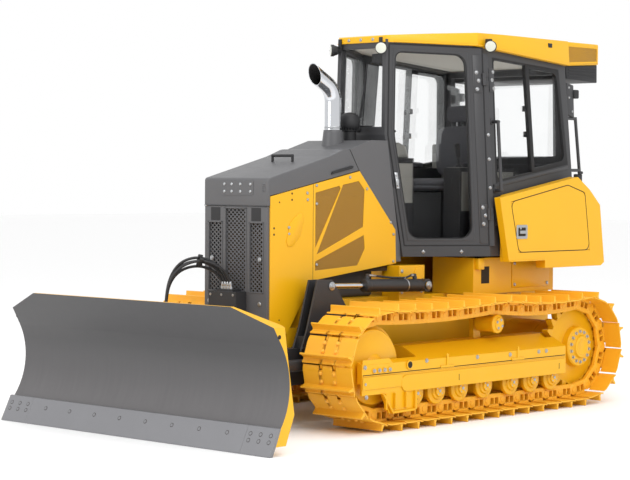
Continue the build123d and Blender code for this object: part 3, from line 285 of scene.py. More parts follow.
# the middle of each hose in millimetres, from the manifold to the post on the push frame
hose_routes = (
    ((1390, -12, 961), (1393, -14, 1040), (1450, -48, 1130), (1560, -118, 1192), (1668, -196, 1160),
     (1735, -238, 1060), (1762, -258, 900), (1764, -260, 720.4)),
    ((1390, -37, 961), (1394, -40, 1030), (1448, -76, 1112), (1548, -142, 1165), (1652, -220, 1132),
     (1716, -264, 1040), (1740, -281, 890), (1742, -283, 720.4)),
    ((1390, 13, 961), (1393, 11, 1035), (1455, -22, 1118), (1570, -93, 1170), (1684, -172, 1132),
     (1756, -216, 1040), (1784, -236, 890), (1786, -238, 720.4)),
    ((1390, -62, 961), (1394, -66, 1020), (1440, -98, 1085), (1530, -165, 1128), (1630, -243, 1098),
     (1694, -288, 1010), (1717, -302, 880), (1719, -304, 720.4)))
for number, route in enumerate(hose_routes, start=1):
    line = bpy.data.curves.new(f"hydraulic_hose_{number}", "CURVE")
    line.dimensions = "3D"
    line.bevel_depth = hose_radius
    line.bevel_resolution = 5
    line.resolution_u = 10
    line.use_fill_caps = True
    run = line.splines.new("NURBS")
    run.points.add(len(route) - 1)
    for point, place in zip(run.points, route):
        point.co = (*(Vector(place) / 1000), 1)
    run.order_u = 3
    run.use_endpoint_u = True
    curve = stand("hose line", line)
    skin_mesh = meshed(curve)
    line.bevel_depth = 0
    path = [tuple(v.co) for v in meshed(curve).vertices]
    bpy.data.objects.remove(curve)
    skin_mesh.name = f"hydraulic_hose_{number}"
    skin_mesh.shade_smooth()
    skin_mesh.materials.append(rubber)
    hose = stand(skin_mesh.name, skin_mesh)
    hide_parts(f"hose_{number}")
    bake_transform(hose)

# ------------------------------------------------------------------ tracks
# Each track is a closed chain of 38 forged links. A rolled steel shoe with one tall grouser is
# bolted across every link pair, and the pins run in bushings between the two rails.
track_paint = finish_of("track enamel", linear(238, 174, 32), linear(255, 214, 110),
                        highlight_and_wear_amount=0.55, edge_width=0.003, drift=0.16, roughness=0.42, grain=160,
                        dust=0.22, bump=0.0008)
nut_paint = finish_of("bolt enamel", linear(243, 182, 58), linear(255, 226, 140),
                      highlight_and_wear_amount=0.5, edge_width=0.002, roughness=0.36, bump=0.0002)
# painted shade: a near-black brown laid into holes, gaps and recesses where shade falls
painted_recess_shade = finish_of("painted recess shade", linear(38, 30, 18), linear(60, 48, 30), roughness=0.8)
track_y = 0.8375
sprocket_x, sprocket_z, sprocket_pin_radius = -1.516, 0.4444, 0.3354
idler_x, idler_z, idler_pin_radius = 0.894, 0.443, 0.334
carrier_x, carrier_pin_z = -0.479, 0.792
link_count, shoe_width = 38, 0.45
hands = ((1, "left"), (-1, "right"))


def chain_pins():
    """Pin centres (x, z) round a track: ground run, idler, the two sagging top spans, sprocket."""
    loop, steps = [], 24
    for i in range(steps + 1):
        turn = math.pi * i / steps
        loop.append((idler_x + idler_pin_radius * math.sin(turn),
                     idler_z - idler_pin_radius * math.cos(turn)))
    for start, end, sag in (
            ((idler_x, idler_z + idler_pin_radius), (carrier_x, carrier_pin_z), 0.022),
            ((carrier_x, carrier_pin_z), (sprocket_x, sprocket_z + sprocket_pin_radius), 0.030)):
        for i in range(1, steps + 1):
            t = i / steps
            loop.append((start[0] + (end[0] - start[0]) * t,
                         start[1] + (end[1] - start[1]) * t - 4 * sag * t * (1 - t)))
    for i in range(1, steps + 1):
        turn = math.pi * i / steps
        loop.append((sprocket_x - sprocket_pin_radius * math.sin(turn),
                     sprocket_z + sprocket_pin_radius * math.cos(turn)))
    loop.append(loop[0])
    lengths = [math.dist(a, b) for a, b in zip(loop, loop[1:])]
    pins = []
    for n in range(link_count):
        left, k = sum(lengths) * n / link_count, 0
        while left > lengths[k]:
            left -= lengths[k]
            k += 1
        t = left / lengths[k]
        pins.append((loop[k][0] + (loop[k + 1][0] - loop[k][0]) * t,
                     loop[k][1] + (loop[k + 1][1] - loop[k][1]) * t))
    return pins


def thicken(shape, ring, shift):
    """Fill a ring of vertices with a face and extrude it, returning the far side's vertices."""
    grown = bmesh.ops.extrude_face_region(shape, geom=[shape.faces.new(ring)])
    far = [v for v in grown["geom"] if isinstance(v, bmesh.types.BMVert)]
    bmesh.ops.translate(shape, verts=far, vec=shift)
    return far


def round_edges(shape, verts, radius, segments):
    """Round all edges at some vertices."""
    bmesh.ops.bevel(shape, geom=list({e for v in verts for e in v.link_edges}), offset=radius,
                    offset_type="OFFSET", segments=segments, profile=0.5, affect="EDGES",
                    material=-1, clamp_overlap=True)


def plate(shape, outline, low_y, high_y, bevel=0.0, segments=1):
    """Add a plate with this outline (x, z), from one y to another, with its edges rounded."""
    ring = [shape.verts.new((x, low_y, z)) for x, z in outline]
    far = thicken(shape, ring, (0, high_y - low_y, 0))
    if bevel:
        round_edges(shape, ring + far, bevel, segments)


def oblong(left, low, right, high):
    """The four corners of an upright rectangle."""
    return [(left, low), (right, low), (right, high), (left, high)]


def cuboid(shape, low, high, bevel=0.0, segments=2):
    """Add a box between two corners, with its edges rounded."""
    plate(shape, oblong(low[0], low[2], high[0], high[2]), low[1], high[1], bevel, segments)


def stamp(shape, pattern, matrices):
    """Add a copy of a pattern bmesh at each matrix."""
    pattern_data = bpy.data.meshes.new("pattern")
    for matrix in matrices:
        one = pattern.copy()
        bmesh.ops.transform(one, matrix=matrix, verts=one.verts)
        one.to_mesh(pattern_data)
        one.free()
        shape.from_mesh(pattern_data)
    bpy.data.meshes.remove(pattern_data)


pins = chain_pins()
link_frames = []
for start, end in zip(pins, pins[1:] + pins[:1]):
    length = math.dist(start, end)
    along_x, along_z = (end[0] - start[0]) / length, (end[1] - start[1]) / length
    link_frames.append(Matrix((
        (along_x, 0, along_z, start[0]), (0, -1, 0, 0), (along_z, 0, -along_x, start[1]),
        (0, 0, 0, 1))))
pitch = sum(math.dist(a, b) for a, b in zip(pins, pins[1:])) / (link_count - 1)
rail_middle, rail_half = 0.061, 0.016

# the shoe: a rolled profile with notches over the rails at its rear edge, and one tall grouser
shoe = bmesh.new()
half = shoe_width / 2
notch_end, notch_half = pitch - 0.020, 0.0175
profile = [(-0.007, 0.0575), (-0.005, 0.0650), (0.004, 0.0670), (0.016, 0.0620),
           (pitch - 0.032, 0.0620), (pitch - 0.012, 0.0590), (pitch + 0.010, 0.0500),
           (pitch + 0.012, 0.0460), (pitch + 0.006, 0.0445), (pitch - 0.016, 0.0510),
           (pitch - 0.034, 0.0520), (0.014, 0.0520), (0.004, 0.0575)]
cuts = [-half]
for w in (-rail_middle, rail_middle):
    cuts += [w - 0.019, w - notch_half, w + notch_half, w + 0.019]
cuts.append(half)
face = shoe.faces.new([shoe.verts.new((along, cuts[0], up)) for along, up in profile])
for before, after in zip(cuts, cuts[1:]):
    grown = bmesh.ops.extrude_face_region(shoe, geom=[face])
    face = next(f for f in grown["geom"] if isinstance(f, bmesh.types.BMFace))
    bmesh.ops.translate(shoe, vec=(0, after - before, 0),
                        verts=[v for v in grown["geom"] if isinstance(v, bmesh.types.BMVert)])
for vert in shoe.verts:
    if vert.co.x > notch_end and abs(abs(vert.co.y) - rail_middle) < 0.018:
        vert.co = (notch_end, vert.co.y, min(max(vert.co.z, 0.052), 0.062))
grouser = [(0.020, 0.060), (0.031, 0.064), (0.037, 0.080), (0.0385, 0.1065), (0.0405, 0.109),
           (0.0495, 0.109), (0.0515, 0.1065), (0.053, 0.080), (0.060, 0.064), (0.074, 0.060)]
plate(shoe, grouser, -half, half)

# the link: two forged rails with their eyes, and the bushing between them
link = bmesh.new()
for outer in (1, -1):
    w = outer * rail_middle
    w0, w1 = w - rail_half, w + rail_half
    plate(link, [(-0.020, -0.030), (-0.012, -0.045), (pitch - 0.02, -0.045), (pitch, -0.038),
                 (pitch - 0.010, -0.012), (0.012, -0.012)], w0, w1, 0.003)
    plate(link, [(0.030, 0.052), (0.040, 0.034), (pitch - 0.036, 0.034), (pitch - 0.026, 0.052)],
          w0, w1)
    plate(link, oblong(0.084, -0.014, 0.098, 0.036), w0, w1)
    plate(link, [(0.030, -0.014), (0.046, -0.014), (0.042, 0.036), (0.030, 0.036)], w0, w1)
    plate(link, [(pitch - 0.046, -0.014), (pitch - 0.030, -0.014), (pitch - 0.030, 0.036),
                 (pitch - 0.042, 0.036)], w0, w1)
    for along, near, far in ((0.0, 0.000, 0.019), (pitch, -0.019, -0.001)):
        round_bar(link, (along, w + outer * near, 0), (along, w + outer * far, 0), 0.043,
                  segments=18, bevel=0.003)
    round_bar(link, (0, w + outer * 0.018, 0), (0, w + outer * 0.023, 0), 0.021, segments=14)
round_bar(link, (0, -0.046, 0), (0, 0.046, 0), 0.031, segments=16)

nuts = bmesh.new()
for w in (rail_middle, -rail_middle):
    for along in (0.082, 0.142):
        round_bar(nuts, (along, w, 0.060), (along, w, 0.0645), 0.0165, segments=12)
        round_bar(nuts, (along, w, 0.064), (along, w, 0.0735), 0.0140, 0.0105, segments=8,
                  bevel=0.002)
        round_bar(nuts, (along, w, 0.030), (along, w, 0.046), 0.012, segments=6)

for side, name in hands:
    places = [Matrix.Translation((0, side * track_y, 0)) @ m for m in link_frames]
    for kind, pattern, enamel, node in (("track_shoes", shoe, track_paint, (f"track_{name}",)),
                                        ("track_chain", link, track_paint, ()),
                                        ("shoe_bolts", nuts, nut_paint, ())):
        loop = bmesh.new()
        stamp(loop, pattern, places)
        piece(f"{kind}_{name}", loop, enamel, replaces=node)
for pattern in (shoe, link, nuts):
    pattern.free()

# ------------------------------------------------------------------ rollers, idlers and sprockets
# Forged track rollers with double flanges on fixed shafts, a carrier roller under the top run, a
# cast idler wheel in front and the drive sprocket's bolted rim behind. All enamelled yellow.
paint = finish_of("yellow enamel", linear(228, 171, 12), linear(252, 212, 84), highlight_and_wear_amount=0.3,
                  edge_width=0.005, drift=0.07, roughness=0.36, grain=220, dust=0.06, coat=0.08)
paint.node_tree.nodes["Principled BSDF"].inputs["Specular IOR Level"].default_value = 0.35
chrome = finish_of("hard chrome", linear(204, 206, 210), linear(245, 245, 248), highlight_and_wear_amount=0.1,
                   roughness=0.1, dust=0.05, metal=1.0, grain=700, bump=0.00005)


def spun(shape, points, centre, axis, steps):
    """Spin a line of points a full turn about an axis."""
    verts = [shape.verts.new(p) for p in points]
    edges = [shape.edges.new(pair) for pair in zip(verts, verts[1:])]
    bmesh.ops.spin(shape, geom=verts + edges, cent=centre, axis=axis, angle=2 * math.pi,
                   steps=steps, use_merge=True)


def turned(shape, profile, x, z, side, steps):
    """Add a wheel: (y, radius) points spun about the cross-wise axis through (x, z)."""
    ends = [(profile[0][0], 0.0)] + list(profile) + [(profile[-1][0], 0.0)]
    spun(shape, [(x, side * y, z + r) for y, r in ends], (x, 0, z), (0, 1, 0), steps)


def around(x, z, radius, angles):
    """Places (x, z) at some angles on a circle."""
    return [(x + radius * math.cos(a), z + radius * math.sin(a)) for a in angles]


roller_xs = (0.490, 0.246, -0.016, -0.301, -0.621, -0.875, -1.129)
roller_z, carrier_z = 0.2343, 0.673
tooth_count, tooth_root, tooth_crest = 23, 0.284, 0.349
for side, name in hands:
    wheels = bmesh.new()
    for x in roller_xs:
        turned(wheels, (
            (0.692, 0.034), (0.712, 0.036), (0.716, 0.070), (0.722, 0.096), (0.726, 0.098),
            (0.752, 0.098), (0.755, 0.082), (0.918, 0.082), (0.922, 0.098), (0.948, 0.098),
            (0.952, 0.094), (0.955, 0.066), (0.966, 0.060), (0.970, 0.044), (0.982, 0.040),
            (0.983, 0.018)), x, roller_z, side, 28)
    turned(wheels, ((0.761, 0.062), (0.914, 0.062), (0.917, 0.070), (0.936, 0.070), (0.940, 0.064),
                    (0.946, 0.050), (0.954, 0.046), (0.956, 0.020)), carrier_x, carrier_z, side,
           28)
    piece(f"track_rollers_{name}", wheels, paint, replaces=(f"track_rollers_{name}",))
    plugs = bmesh.new()
    for x in roller_xs:
        round_bar(plugs, (x, side * 0.980, roller_z), (x, side * 0.9865, roller_z), 0.0125,
                  segments=12, bevel=0.001)
        for bolt_x, bolt_z in around(x, roller_z, 0.030, (0.6, 2.2, 3.8, 5.4)):
            round_bar(plugs, (bolt_x, side * 0.976, bolt_z), (bolt_x, side * 0.9835, bolt_z),
                      0.0055, segments=6)
    for bolt_x, bolt_z in around(carrier_x, carrier_z, 0.033, (0.5, 2.07, 3.64, 5.21)):
        hex_head(plugs, (bolt_x, side * 0.953, bolt_z), (0, side, 0), 0.016, 0.008)
    piece(f"roller_plugs_{name}", plugs, steel_fitting)

    idler = bmesh.new()
    tread = 0.262
    turned(idler, (
        (0.722, 0.060), (0.735, 0.075), (0.748, 0.090), (0.756, 0.214), (0.762, 0.226),
        (0.762, tread - 0.006), (0.768, tread), (0.795, tread), (0.800, tread + 0.006),
        (0.803, tread + 0.030), (0.809, tread + 0.034), (0.866, tread + 0.034),
        (0.872, tread + 0.030), (0.875, tread + 0.006), (0.880, tread), (0.907, tread),
        (0.913, tread - 0.006), (0.913, 0.226), (0.919, 0.214), (0.927, 0.090), (0.940, 0.075),
        (0.953, 0.060)), idler_x, idler_z, side, 64)
    piece(f"idler_{name}", idler, paint, replaces=(f"idler_{name}",))

    # drive sprocket: a toothed rim on a dished disc, with a ring of bright bolts round the hub
    drive = bmesh.new()
    turned(drive, ((0.800, 0.190), (0.806, 0.268), (0.812, 0.276), (0.812, 0.292), (0.863, 0.292),
                   (0.863, 0.276), (0.868, 0.266), (0.874, 0.180), (0.882, 0.160), (0.930, 0.156),
                   (0.940, 0.146), (0.943, 0.094), (0.950, 0.086), (0.962, 0.082), (0.965, 0.060),
                   (0.960, 0.052)), sprocket_x, sprocket_z, side, 56)
    flank = ((tooth_root, 0.030), (tooth_root + 0.030, 0.022), (tooth_crest - 0.006, 0.011),
             (tooth_crest, 0.006))
    for tooth in range(tooth_count):
        turn = 2 * math.pi * (tooth + 0.5) / tooth_count
        plate(drive, [(sprocket_x + reach * math.cos(turn) - swing * math.sin(turn),
                       sprocket_z + reach * math.sin(turn) + swing * math.cos(turn))
                      for reach, swing in [(r, -w) for r, w in flank] + list(flank[::-1])],
              side * 0.8095, side * 0.8655)
    round_bar(drive, (sprocket_x, side * 0.61, sprocket_z), (sprocket_x, side * 0.805, sprocket_z),
              0.189, segments=48, bevel=0.006)
    piece(f"sprocket_{name}", drive, paint, replaces=(f"sprocket_{name}",))
    ring_bolts = bmesh.new()
    for bolt_x, bolt_z in around(sprocket_x, sprocket_z, 0.119,
                                 [2 * math.pi * bolt / 14 + 0.2 for bolt in range(14)]):
        hex_head(ring_bolts, (bolt_x, side * 0.9405, bolt_z), (0, side, 0), 0.019, 0.014)
    piece(f"sprocket_bolts_{name}", ring_bolts, steel_fitting)

# ------------------------------------------------------------------ track frames
# Welded box frames that carry the rollers and the idler's fork. Bolted roller guards hang below
# them, with a rounded wear bar along the outer face and lifting tabs on the sloping top.
dress(paint, "track_frame_left", "track_frame_right")
guard_y = 1.0
ledge_bolt_xs, ledge_bolt_z = (0.985, 0.930, 0.875, 0.820), 0.428
adjuster_x, adjuster_z = 0.610, 0.446
for side, name in hands:
    def on_guard(shape, outline, low, high, bevel=0.0):
        """Add a plate to the guard's outer face, from one height above it to another."""
        plate(shape, outline, side * (guard_y + low), side * (guard_y + high), bevel)

    def disc(shape, x, z, radius, low, high, segments=20, bevel=0.0):
        """Add a round boss or recess to the guard's outer face."""
        round_bar(shape, (x, side * (guard_y + low), z), (x, side * (guard_y + high), z), radius,
                  segments=segments, bevel=bevel)

    trim = bmesh.new()
    # wear bar with a rounded nose, and the guard's lower rail
    nose = around(0.640, 0.3195, 0.058, [math.radians(t) for t in range(-90, 91, 15)])
    on_guard(trim, [(-1.236, 0.2615)] + nose + [(-1.236, 0.3775)], 0, 0.010, 0.003)
    on_guard(trim, oblong(-1.240, 0.392, 1.095, 0.398), 0, 0.004)
    on_guard(trim, [(0.640, 0.300), (1.100, 0.300), (1.100, 0.388), (0.700, 0.388)], 0, 0.006,
             0.002)
    # upper rail of the guard with its two slotted lugs
    for x in (0.190, -0.640):
        on_guard(trim, [(x - 0.075, 0.400), (x + 0.075, 0.400), (x + 0.075, 0.418),
                        (x + 0.010, 0.418), (x + 0.010, 0.500), (x - 0.010, 0.500),
                        (x - 0.010, 0.418), (x - 0.075, 0.418)], 0, 0.007, 0.002)
    for x in ledge_bolt_xs:
        disc(trim, x, ledge_bolt_z, 0.019, 0, 0.006, 14, 0.002)
    # ribs on the front guide plate
    for x in (0.868, 0.770, 0.655):
        on_guard(trim, oblong(x - 0.007, 0.150, x + 0.007, 0.262), -0.002, 0.022, 0.003)
    on_guard(trim, [(0.560, 0.122), (0.800, 0.118), (0.905, 0.262), (0.885, 0.262),
                    (0.792, 0.134), (0.560, 0.138)], -0.002, 0.020, 0.003)
    on_guard(trim, oblong(0.540, 0.130, 0.560, 0.262), -0.002, 0.020, 0.003)
    # end plate with its track adjuster cover
    on_guard(trim, [(0.780, 0.470), (1.096, 0.470), (1.096, 0.505), (0.820, 0.505)], -0.015,
             -0.002)
    disc(trim, adjuster_x, adjuster_z, 0.034, 0, 0.010, 20, 0.002)
    piece(f"roller_guard_{name}", trim, paint)
    # painted shade in the adjuster cover, the drain holes, two slots and the line under the upper
    # rail
    shade_marks = bmesh.new()
    disc(shade_marks, adjuster_x, adjuster_z, 0.024, 0.009, 0.0105)
    for x in (0.524, 0.530):
        for z in (0.165, 0.198, 0.231):
            disc(shade_marks, x, z, 0.007, 0, 0.001, 10)
    on_guard(shade_marks, oblong(-1.236, 0.3985, 1.095, 0.4035), 0, 0.0012)
    for x in (0.065, -1.150):
        on_guard(shade_marks, oblong(x - 0.003, 0.300, x + 0.003, 0.345), 0.009, 0.0106)
    piece(f"guard_recess_shade_{name}", shade_marks, painted_recess_shade)
    guard_bolts = bmesh.new()
    for x in ledge_bolt_xs:
        hex_head(guard_bolts, (x, side * (guard_y + 0.006), ledge_bolt_z), (0, side, 0), 0.020,
                 0.010)
    for x, z in ((0.420, 0.462), (-0.155, 0.452), (-0.545, 0.446), (-0.900, 0.446),
                 (-0.995, 0.446), (1.075, 0.455), (1.075, 0.340), (1.060, 0.250)):
        hex_head(guard_bolts, (x, side * guard_y, z), (0, side, 0), 0.022, 0.010)
    piece(f"track_frame_bolts_{name}", guard_bolts, steel_fitting)

# ------------------------------------------------------------------ chassis
# The welded main case, the cross beams and final drive cases on its sides, the boxes that carry
# the cab, the brackets of the lift cylinders and the engine block. All yellow but the grey engine
# block.
cast_paint = finish_of("cast enamel", linear(224, 165, 14), linear(255, 214, 110), highlight_and_wear_amount=0.3,
                       edge_width=0.006, drift=0.12, roughness=0.45, grain=90, bump=0.0012,
                       dust=0.2)
engine_paint = finish_of("engine casting", linear(60, 60, 62), linear(110, 110, 112),
                         roughness=0.6, grain=70, bump=0.0015, edge_width=0.008)
dress(paint, "main_frame", "lift_brackets", "deck_boxes")
dress(cast_paint, "side_mounts")
dress(engine_paint, "engine_block")
deck_y, case_y, cover = 0.600, 0.4155, 0.006
deck_trim = bmesh.new()
for side in (1, -1):
    # cover of the battery box and bracket under the cab, cover plate on the case
    cuboid(deck_trim, (-1.560, side * deck_y, 0.905), (-1.080, side * (deck_y + cover), 1.120),
           0.002)
    cuboid(deck_trim, (-0.690, side * deck_y, 1.060), (-0.620, side * (deck_y + 0.040), 1.146),
           0.004)
    plate(deck_trim, [(-0.190, 0.910), (-0.130, 0.900), (-0.130, 1.050), (-0.160, 1.090),
                      (-0.224, 1.090)], side * case_y, side * (case_y + cover), 0.002)
piece("deck_trim", deck_trim, paint)
deck_bolts = bmesh.new()
for side in (1, -1):
    for x in (-1.53, -1.11):
        for z in (0.93, 1.095):
            hex_head(deck_bolts, (x, side * (deck_y + cover), z), (0, side, 0), 0.020, 0.008)
    for x, z in ((0.010, 0.905), (0.010, 1.060), (-0.215, 0.905)):
        hex_head(deck_bolts, (x, side * case_y, z), (0, side, 0), 0.020, 0.006)
piece("deck_bolts", deck_bolts, steel_fitting)
# painted shade standing for the opening of the step in each deck side
step_hole_shade = bmesh.new()
for side in (1, -1):
    cuboid(step_hole_shade, (-0.800, side * 0.5985, 0.950), (-0.700, side * 0.6008, 1.080), 0.0)
piece("step_opening_shade", step_hole_shade, painted_recess_shade)

# ------------------------------------------------------------------ engine enclosure
# A pressed steel bonnet over bolted side panels. Three openings in each panel are closed by
# finely punched sheet, and a guard with three coarse lattices protects the radiator.
grey = finish_of("charcoal enamel", linear(86, 86, 88), linear(146, 146, 150), highlight_and_wear_amount=0.5,
                 edge_width=0.005, drift=0.10, roughness=0.38, grain=240, dust=0.12)
black = finish_of("black enamel", linear(42, 42, 44), linear(96, 96, 100), highlight_and_wear_amount=0.4,
                  edge_width=0.004, drift=0.10, roughness=0.4, grain=240, dust=0.15)
black_plastic = finish_of("black moulding", linear(30, 30, 32), linear(70, 70, 74),
                          highlight_and_wear_amount=0.3, roughness=0.55, grain=700, bump=0.0005)
bonnet = bmesh.new()
plate(bonnet, [(1.331, 1.5455), (1.331, 1.728), (1.322, 1.742), (1.300, 1.748), (0.701, 1.903),
               (0.560, 1.953), (0.530, 1.957), (0.490, 1.957), (0.382, 1.800), (1.308, 1.618),
               (1.308, 1.5455)], -0.320, 0.320, 0.010, 3)
piece("bonnet", bonnet, grey, sharp=50, replaces=("hood",))
dress(grey, "cowl", "radiator_guard")
dress(paint, "side_panel_left", "side_panel_right")

# punched sheet: rows of small round holes, every other row shifted by half a pitch
punched, given, result = node_group("punched holes", (
    ("Across", "Float", 0.0), ("Up", "Float", 0.0), ("Pitch", "Float", 0.01),
    ("Hole", "Float", 0.3)), (("Solid", "Float"),))
row_height = 0.866
rows = maths(punched, "DIVIDE", maths(punched, "DIVIDE", given["Up"], given["Pitch"]), row_height)
odd = maths(punched, "FLOORED_MODULO", maths(punched, "FLOOR", rows), 2.0)
columns = maths(punched, "ADD", maths(punched, "DIVIDE", given["Across"], given["Pitch"]),
                maths(punched, "MULTIPLY", odd, 0.5))
cell_x = maths(punched, "SUBTRACT", maths(punched, "FRACT", columns), 0.5)
cell_z = maths(punched, "MULTIPLY", maths(punched, "SUBTRACT", maths(punched, "FRACT", rows), 0.5),
               row_height)
reach = maths(punched, "SQRT", maths(punched, "ADD", maths(punched, "MULTIPLY", cell_x, cell_x),
                                     maths(punched, "MULTIPLY", cell_z, cell_z)))
feed(punched, result, {"Solid": maths(punched, "GREATER_THAN", reach, given["Hole"])})
gold_sheet = finish_of("punched gold sheet", linear(166, 122, 34), linear(220, 172, 76),
                       roughness=0.5, drift=0.08)
tree = gold_sheet.node_tree
place = put(tree, "SeparateXYZ", {"Vector": put(tree, "TexCoord").outputs["Object"]}).outputs
holes = put(tree, "Group", {"Across": place["X"], "Up": place["Z"], "Pitch": 0.007, "Hole": 0.31},
            node_tree=punched)
feed(tree, tree.nodes["Principled BSDF"], {"Alpha": holes.outputs["Solid"]})
dress(gold_sheet, "side_screen_left", "side_screen_right")
# painted shade: dark plates behind the punched sheet stand for the shaded engine bay
painted_bay_shade = finish_of("engine bay painted shade", linear(58, 42, 16), linear(80, 60, 26), roughness=0.9)
bay = bmesh.new()
for side in (1, -1):
    cuboid(bay, (0.02, side * 0.290, 1.06), (0.862, side * 0.296, 1.62), 0.0)
piece("engine_bay_shade", bay, painted_bay_shade)

# coarse lattices of the radiator guard, woven from two families of slanting bars
lattice_openings = ((-0.100, 0.100, 0.945, 1.527), (0.141, 0.269, 0.945, 1.427),
                    (-0.269, -0.141, 0.945, 1.427))
lattice_x, lattice_step, lattice_lean = 1.3175, 0.031, math.radians(52)
bar_depth, bar_width = 0.0035, 0.0088
lattice = bmesh.new()
for y0, y1, z0, z1 in lattice_openings:
    grid = bmesh.new()
    reach = (y1 - y0) + (z1 - z0)
    for lean in (1, -1):
        for n in range(-int(reach / lattice_step) - 1, int(reach / lattice_step) + 2):
            bmesh.ops.create_cube(grid, size=1.0, matrix=(
                Matrix.Translation((lattice_x, (y0 + y1) / 2, (z0 + z1) / 2 + n * lattice_step))
                @ Matrix.Rotation(lean * lattice_lean, 4, "X")
                @ Matrix.Diagonal((bar_depth + 0.0004 * lean, bar_width, reach * 1.1, 1))))
    for corner, normal in (((0, y0, 0), (0, -1, 0)), ((0, y1, 0), (0, 1, 0)),
                           ((0, 0, z0), (0, 0, -1)), ((0, 0, z1), (0, 0, 1))):
        cut = bmesh.ops.bisect_plane(grid, geom=grid.verts[:] + grid.edges[:] + grid.faces[:],
                                     plane_co=corner, plane_no=normal, clear_outer=True)
        bmesh.ops.holes_fill(grid, edges=[e for e in cut["geom_cut"]
                                          if isinstance(e, bmesh.types.BMEdge)], sides=8)
    stamp(lattice, grid, [Matrix.Identity(4)])
    grid.free()
piece("radiator_lattice", lattice, grey, replaces=("front_grille",))
# the radiator core, coloured with the painted bay shade over its own dark colour
core = bmesh.new()
cuboid(core, (1.190, -0.300, 0.730), (1.200, 0.300, 1.540), 0.0)
piece("radiator_core", core, painted_bay_shade)

front_trim = bmesh.new()
# rims round the lattices, seams of the shroud, its blank plate and a small louvre
front_x, rim = 1.330, 0.008
for inner_y0, inner_y1, inner_z0, inner_z1 in lattice_openings:
    y0, y1, z0, z1 = inner_y0 - rim, inner_y1 + rim, inner_z0 - rim, inner_z1 + rim
    for low, high in (((y0, z0), (inner_y0, z1)), ((inner_y1, z0), (y1, z1)),
                      ((y0, z0), (y1, inner_z0)), ((y0, inner_z1), (y1, z1))):
        cuboid(front_trim, (front_x + 0.0005, *low), (front_x + 0.006, *high), 0.001, 1)
for z in (1.540, 1.5475):
    cuboid(front_trim, (front_x, -0.318, z), (front_x + 0.004, 0.318, z + 0.003))
thicken(front_trim, [front_trim.verts.new((front_x, y, z)) for y, z in (
    (-0.140, 1.630), (-0.132, 1.620), (0.160, 1.622), (0.172, 1.632), (0.176, 1.716),
    (0.168, 1.724), (-0.126, 1.722), (-0.138, 1.712))], (0.004, 0, 0))
for n in range(5):
    z = 1.648 + 0.0125 * n
    cuboid(front_trim, (front_x, 0.262, z), (front_x + 0.0035, 0.292, z + 0.006), 0.001, 1)
piece("shroud_trim", front_trim, grey)
pockets = bmesh.new()
for side in (1, -1):
    cuboid(pockets, (1.326, side * 0.155, 1.441), (1.3325, side * 0.250, 1.534), 0.001, 1)
piece("lamp_pockets", pockets, black_plastic)

panel_y = 0.3195
enclosure_bolts = bmesh.new()
for y in (-0.113, -0.040, 0.047, 0.146):
    for z in (1.648, 1.699):
        round_bar(enclosure_bolts, (front_x + 0.0035, y, z), (front_x + 0.0085, y, z), 0.0125,
                  0.0095, segments=16, bevel=0.0015)
for y, z in ((0.239, 1.173), (0.239, 0.861), (-0.263, 0.867), (-0.239, 1.173)):
    hex_head(enclosure_bolts, (front_x + 0.001, y, z), (1, 0, 0), 0.024, 0.009)
for side in (1, -1):
    for x, z in ((0.840, 1.692), (0.839, 1.562), (0.836, 1.127), (0.937, 1.638), (0.933, 1.591),
                 (1.123, 1.396), (1.123, 1.352), (0.485, 1.752), (0.300, 1.668), (0.030, 1.420),
                 (0.000, 1.330), (0.000, 1.129)):
        round_bar(enclosure_bolts, (x, side * (panel_y - 0.0005), z),
                  (x, side * (panel_y + 0.007), z), 0.0125, 0.0095, segments=14, bevel=0.0015)
piece("enclosure_bolts", enclosure_bolts, steel_fitting)
# painted shade in the panels' holes and along a seam
shade_marks = bmesh.new()
for side in (1, -1):
    for x, z, radius in ((1.092, 1.635, 0.008), (1.092, 1.591, 0.008), (1.272, 1.393, 0.008),
                         (1.272, 1.349, 0.008), (1.219, 1.574, 0.006), (1.216, 0.749, 0.006)):
        round_bar(shade_marks, (x, side * panel_y, z), (x, side * (panel_y + 0.0011), z), radius,
                  segments=12)
    plate(shade_marks, oblong(0.8725, 1.020, 0.8755, 1.700), side * panel_y, side * (panel_y + 0.0011))
piece("enclosure_hole_shade", shade_marks, painted_recess_shade)
stamped = bmesh.new()
for side in (1, -1):
    plate(stamped, [(1.135, 1.262), (1.150, 1.300), (1.112, 1.430), (1.020, 1.498),
                    (0.985, 1.492), (0.968, 1.455), (1.012, 1.330), (1.090, 1.262)],
          side * 0.3192, side * 0.3245, 0.004, 2)
piece("panel_stamping", stamped, paint)
handles = bmesh.new()
handle_x, handle_foot_z = 0.860, 1.8612
for y in (0.10, -0.10):
    round_bar(handles, (handle_x, y, handle_foot_z), (handle_x, y, handle_foot_z + 0.045), 0.010,
              segments=12)
round_bar(handles, (handle_x, -0.106, 1.905), (handle_x, 0.106, 1.905), 0.010, segments=12,
          bevel=0.002)
for side in (1, -1):
    plate(handles, [(0.690, 1.770), (0.470, 1.815), (0.450, 1.830), (0.470, 1.836),
                    (0.680, 1.792)], side * 0.318, side * 0.330, 0.003, 2)
piece("bonnet_handles", handles, black_plastic)

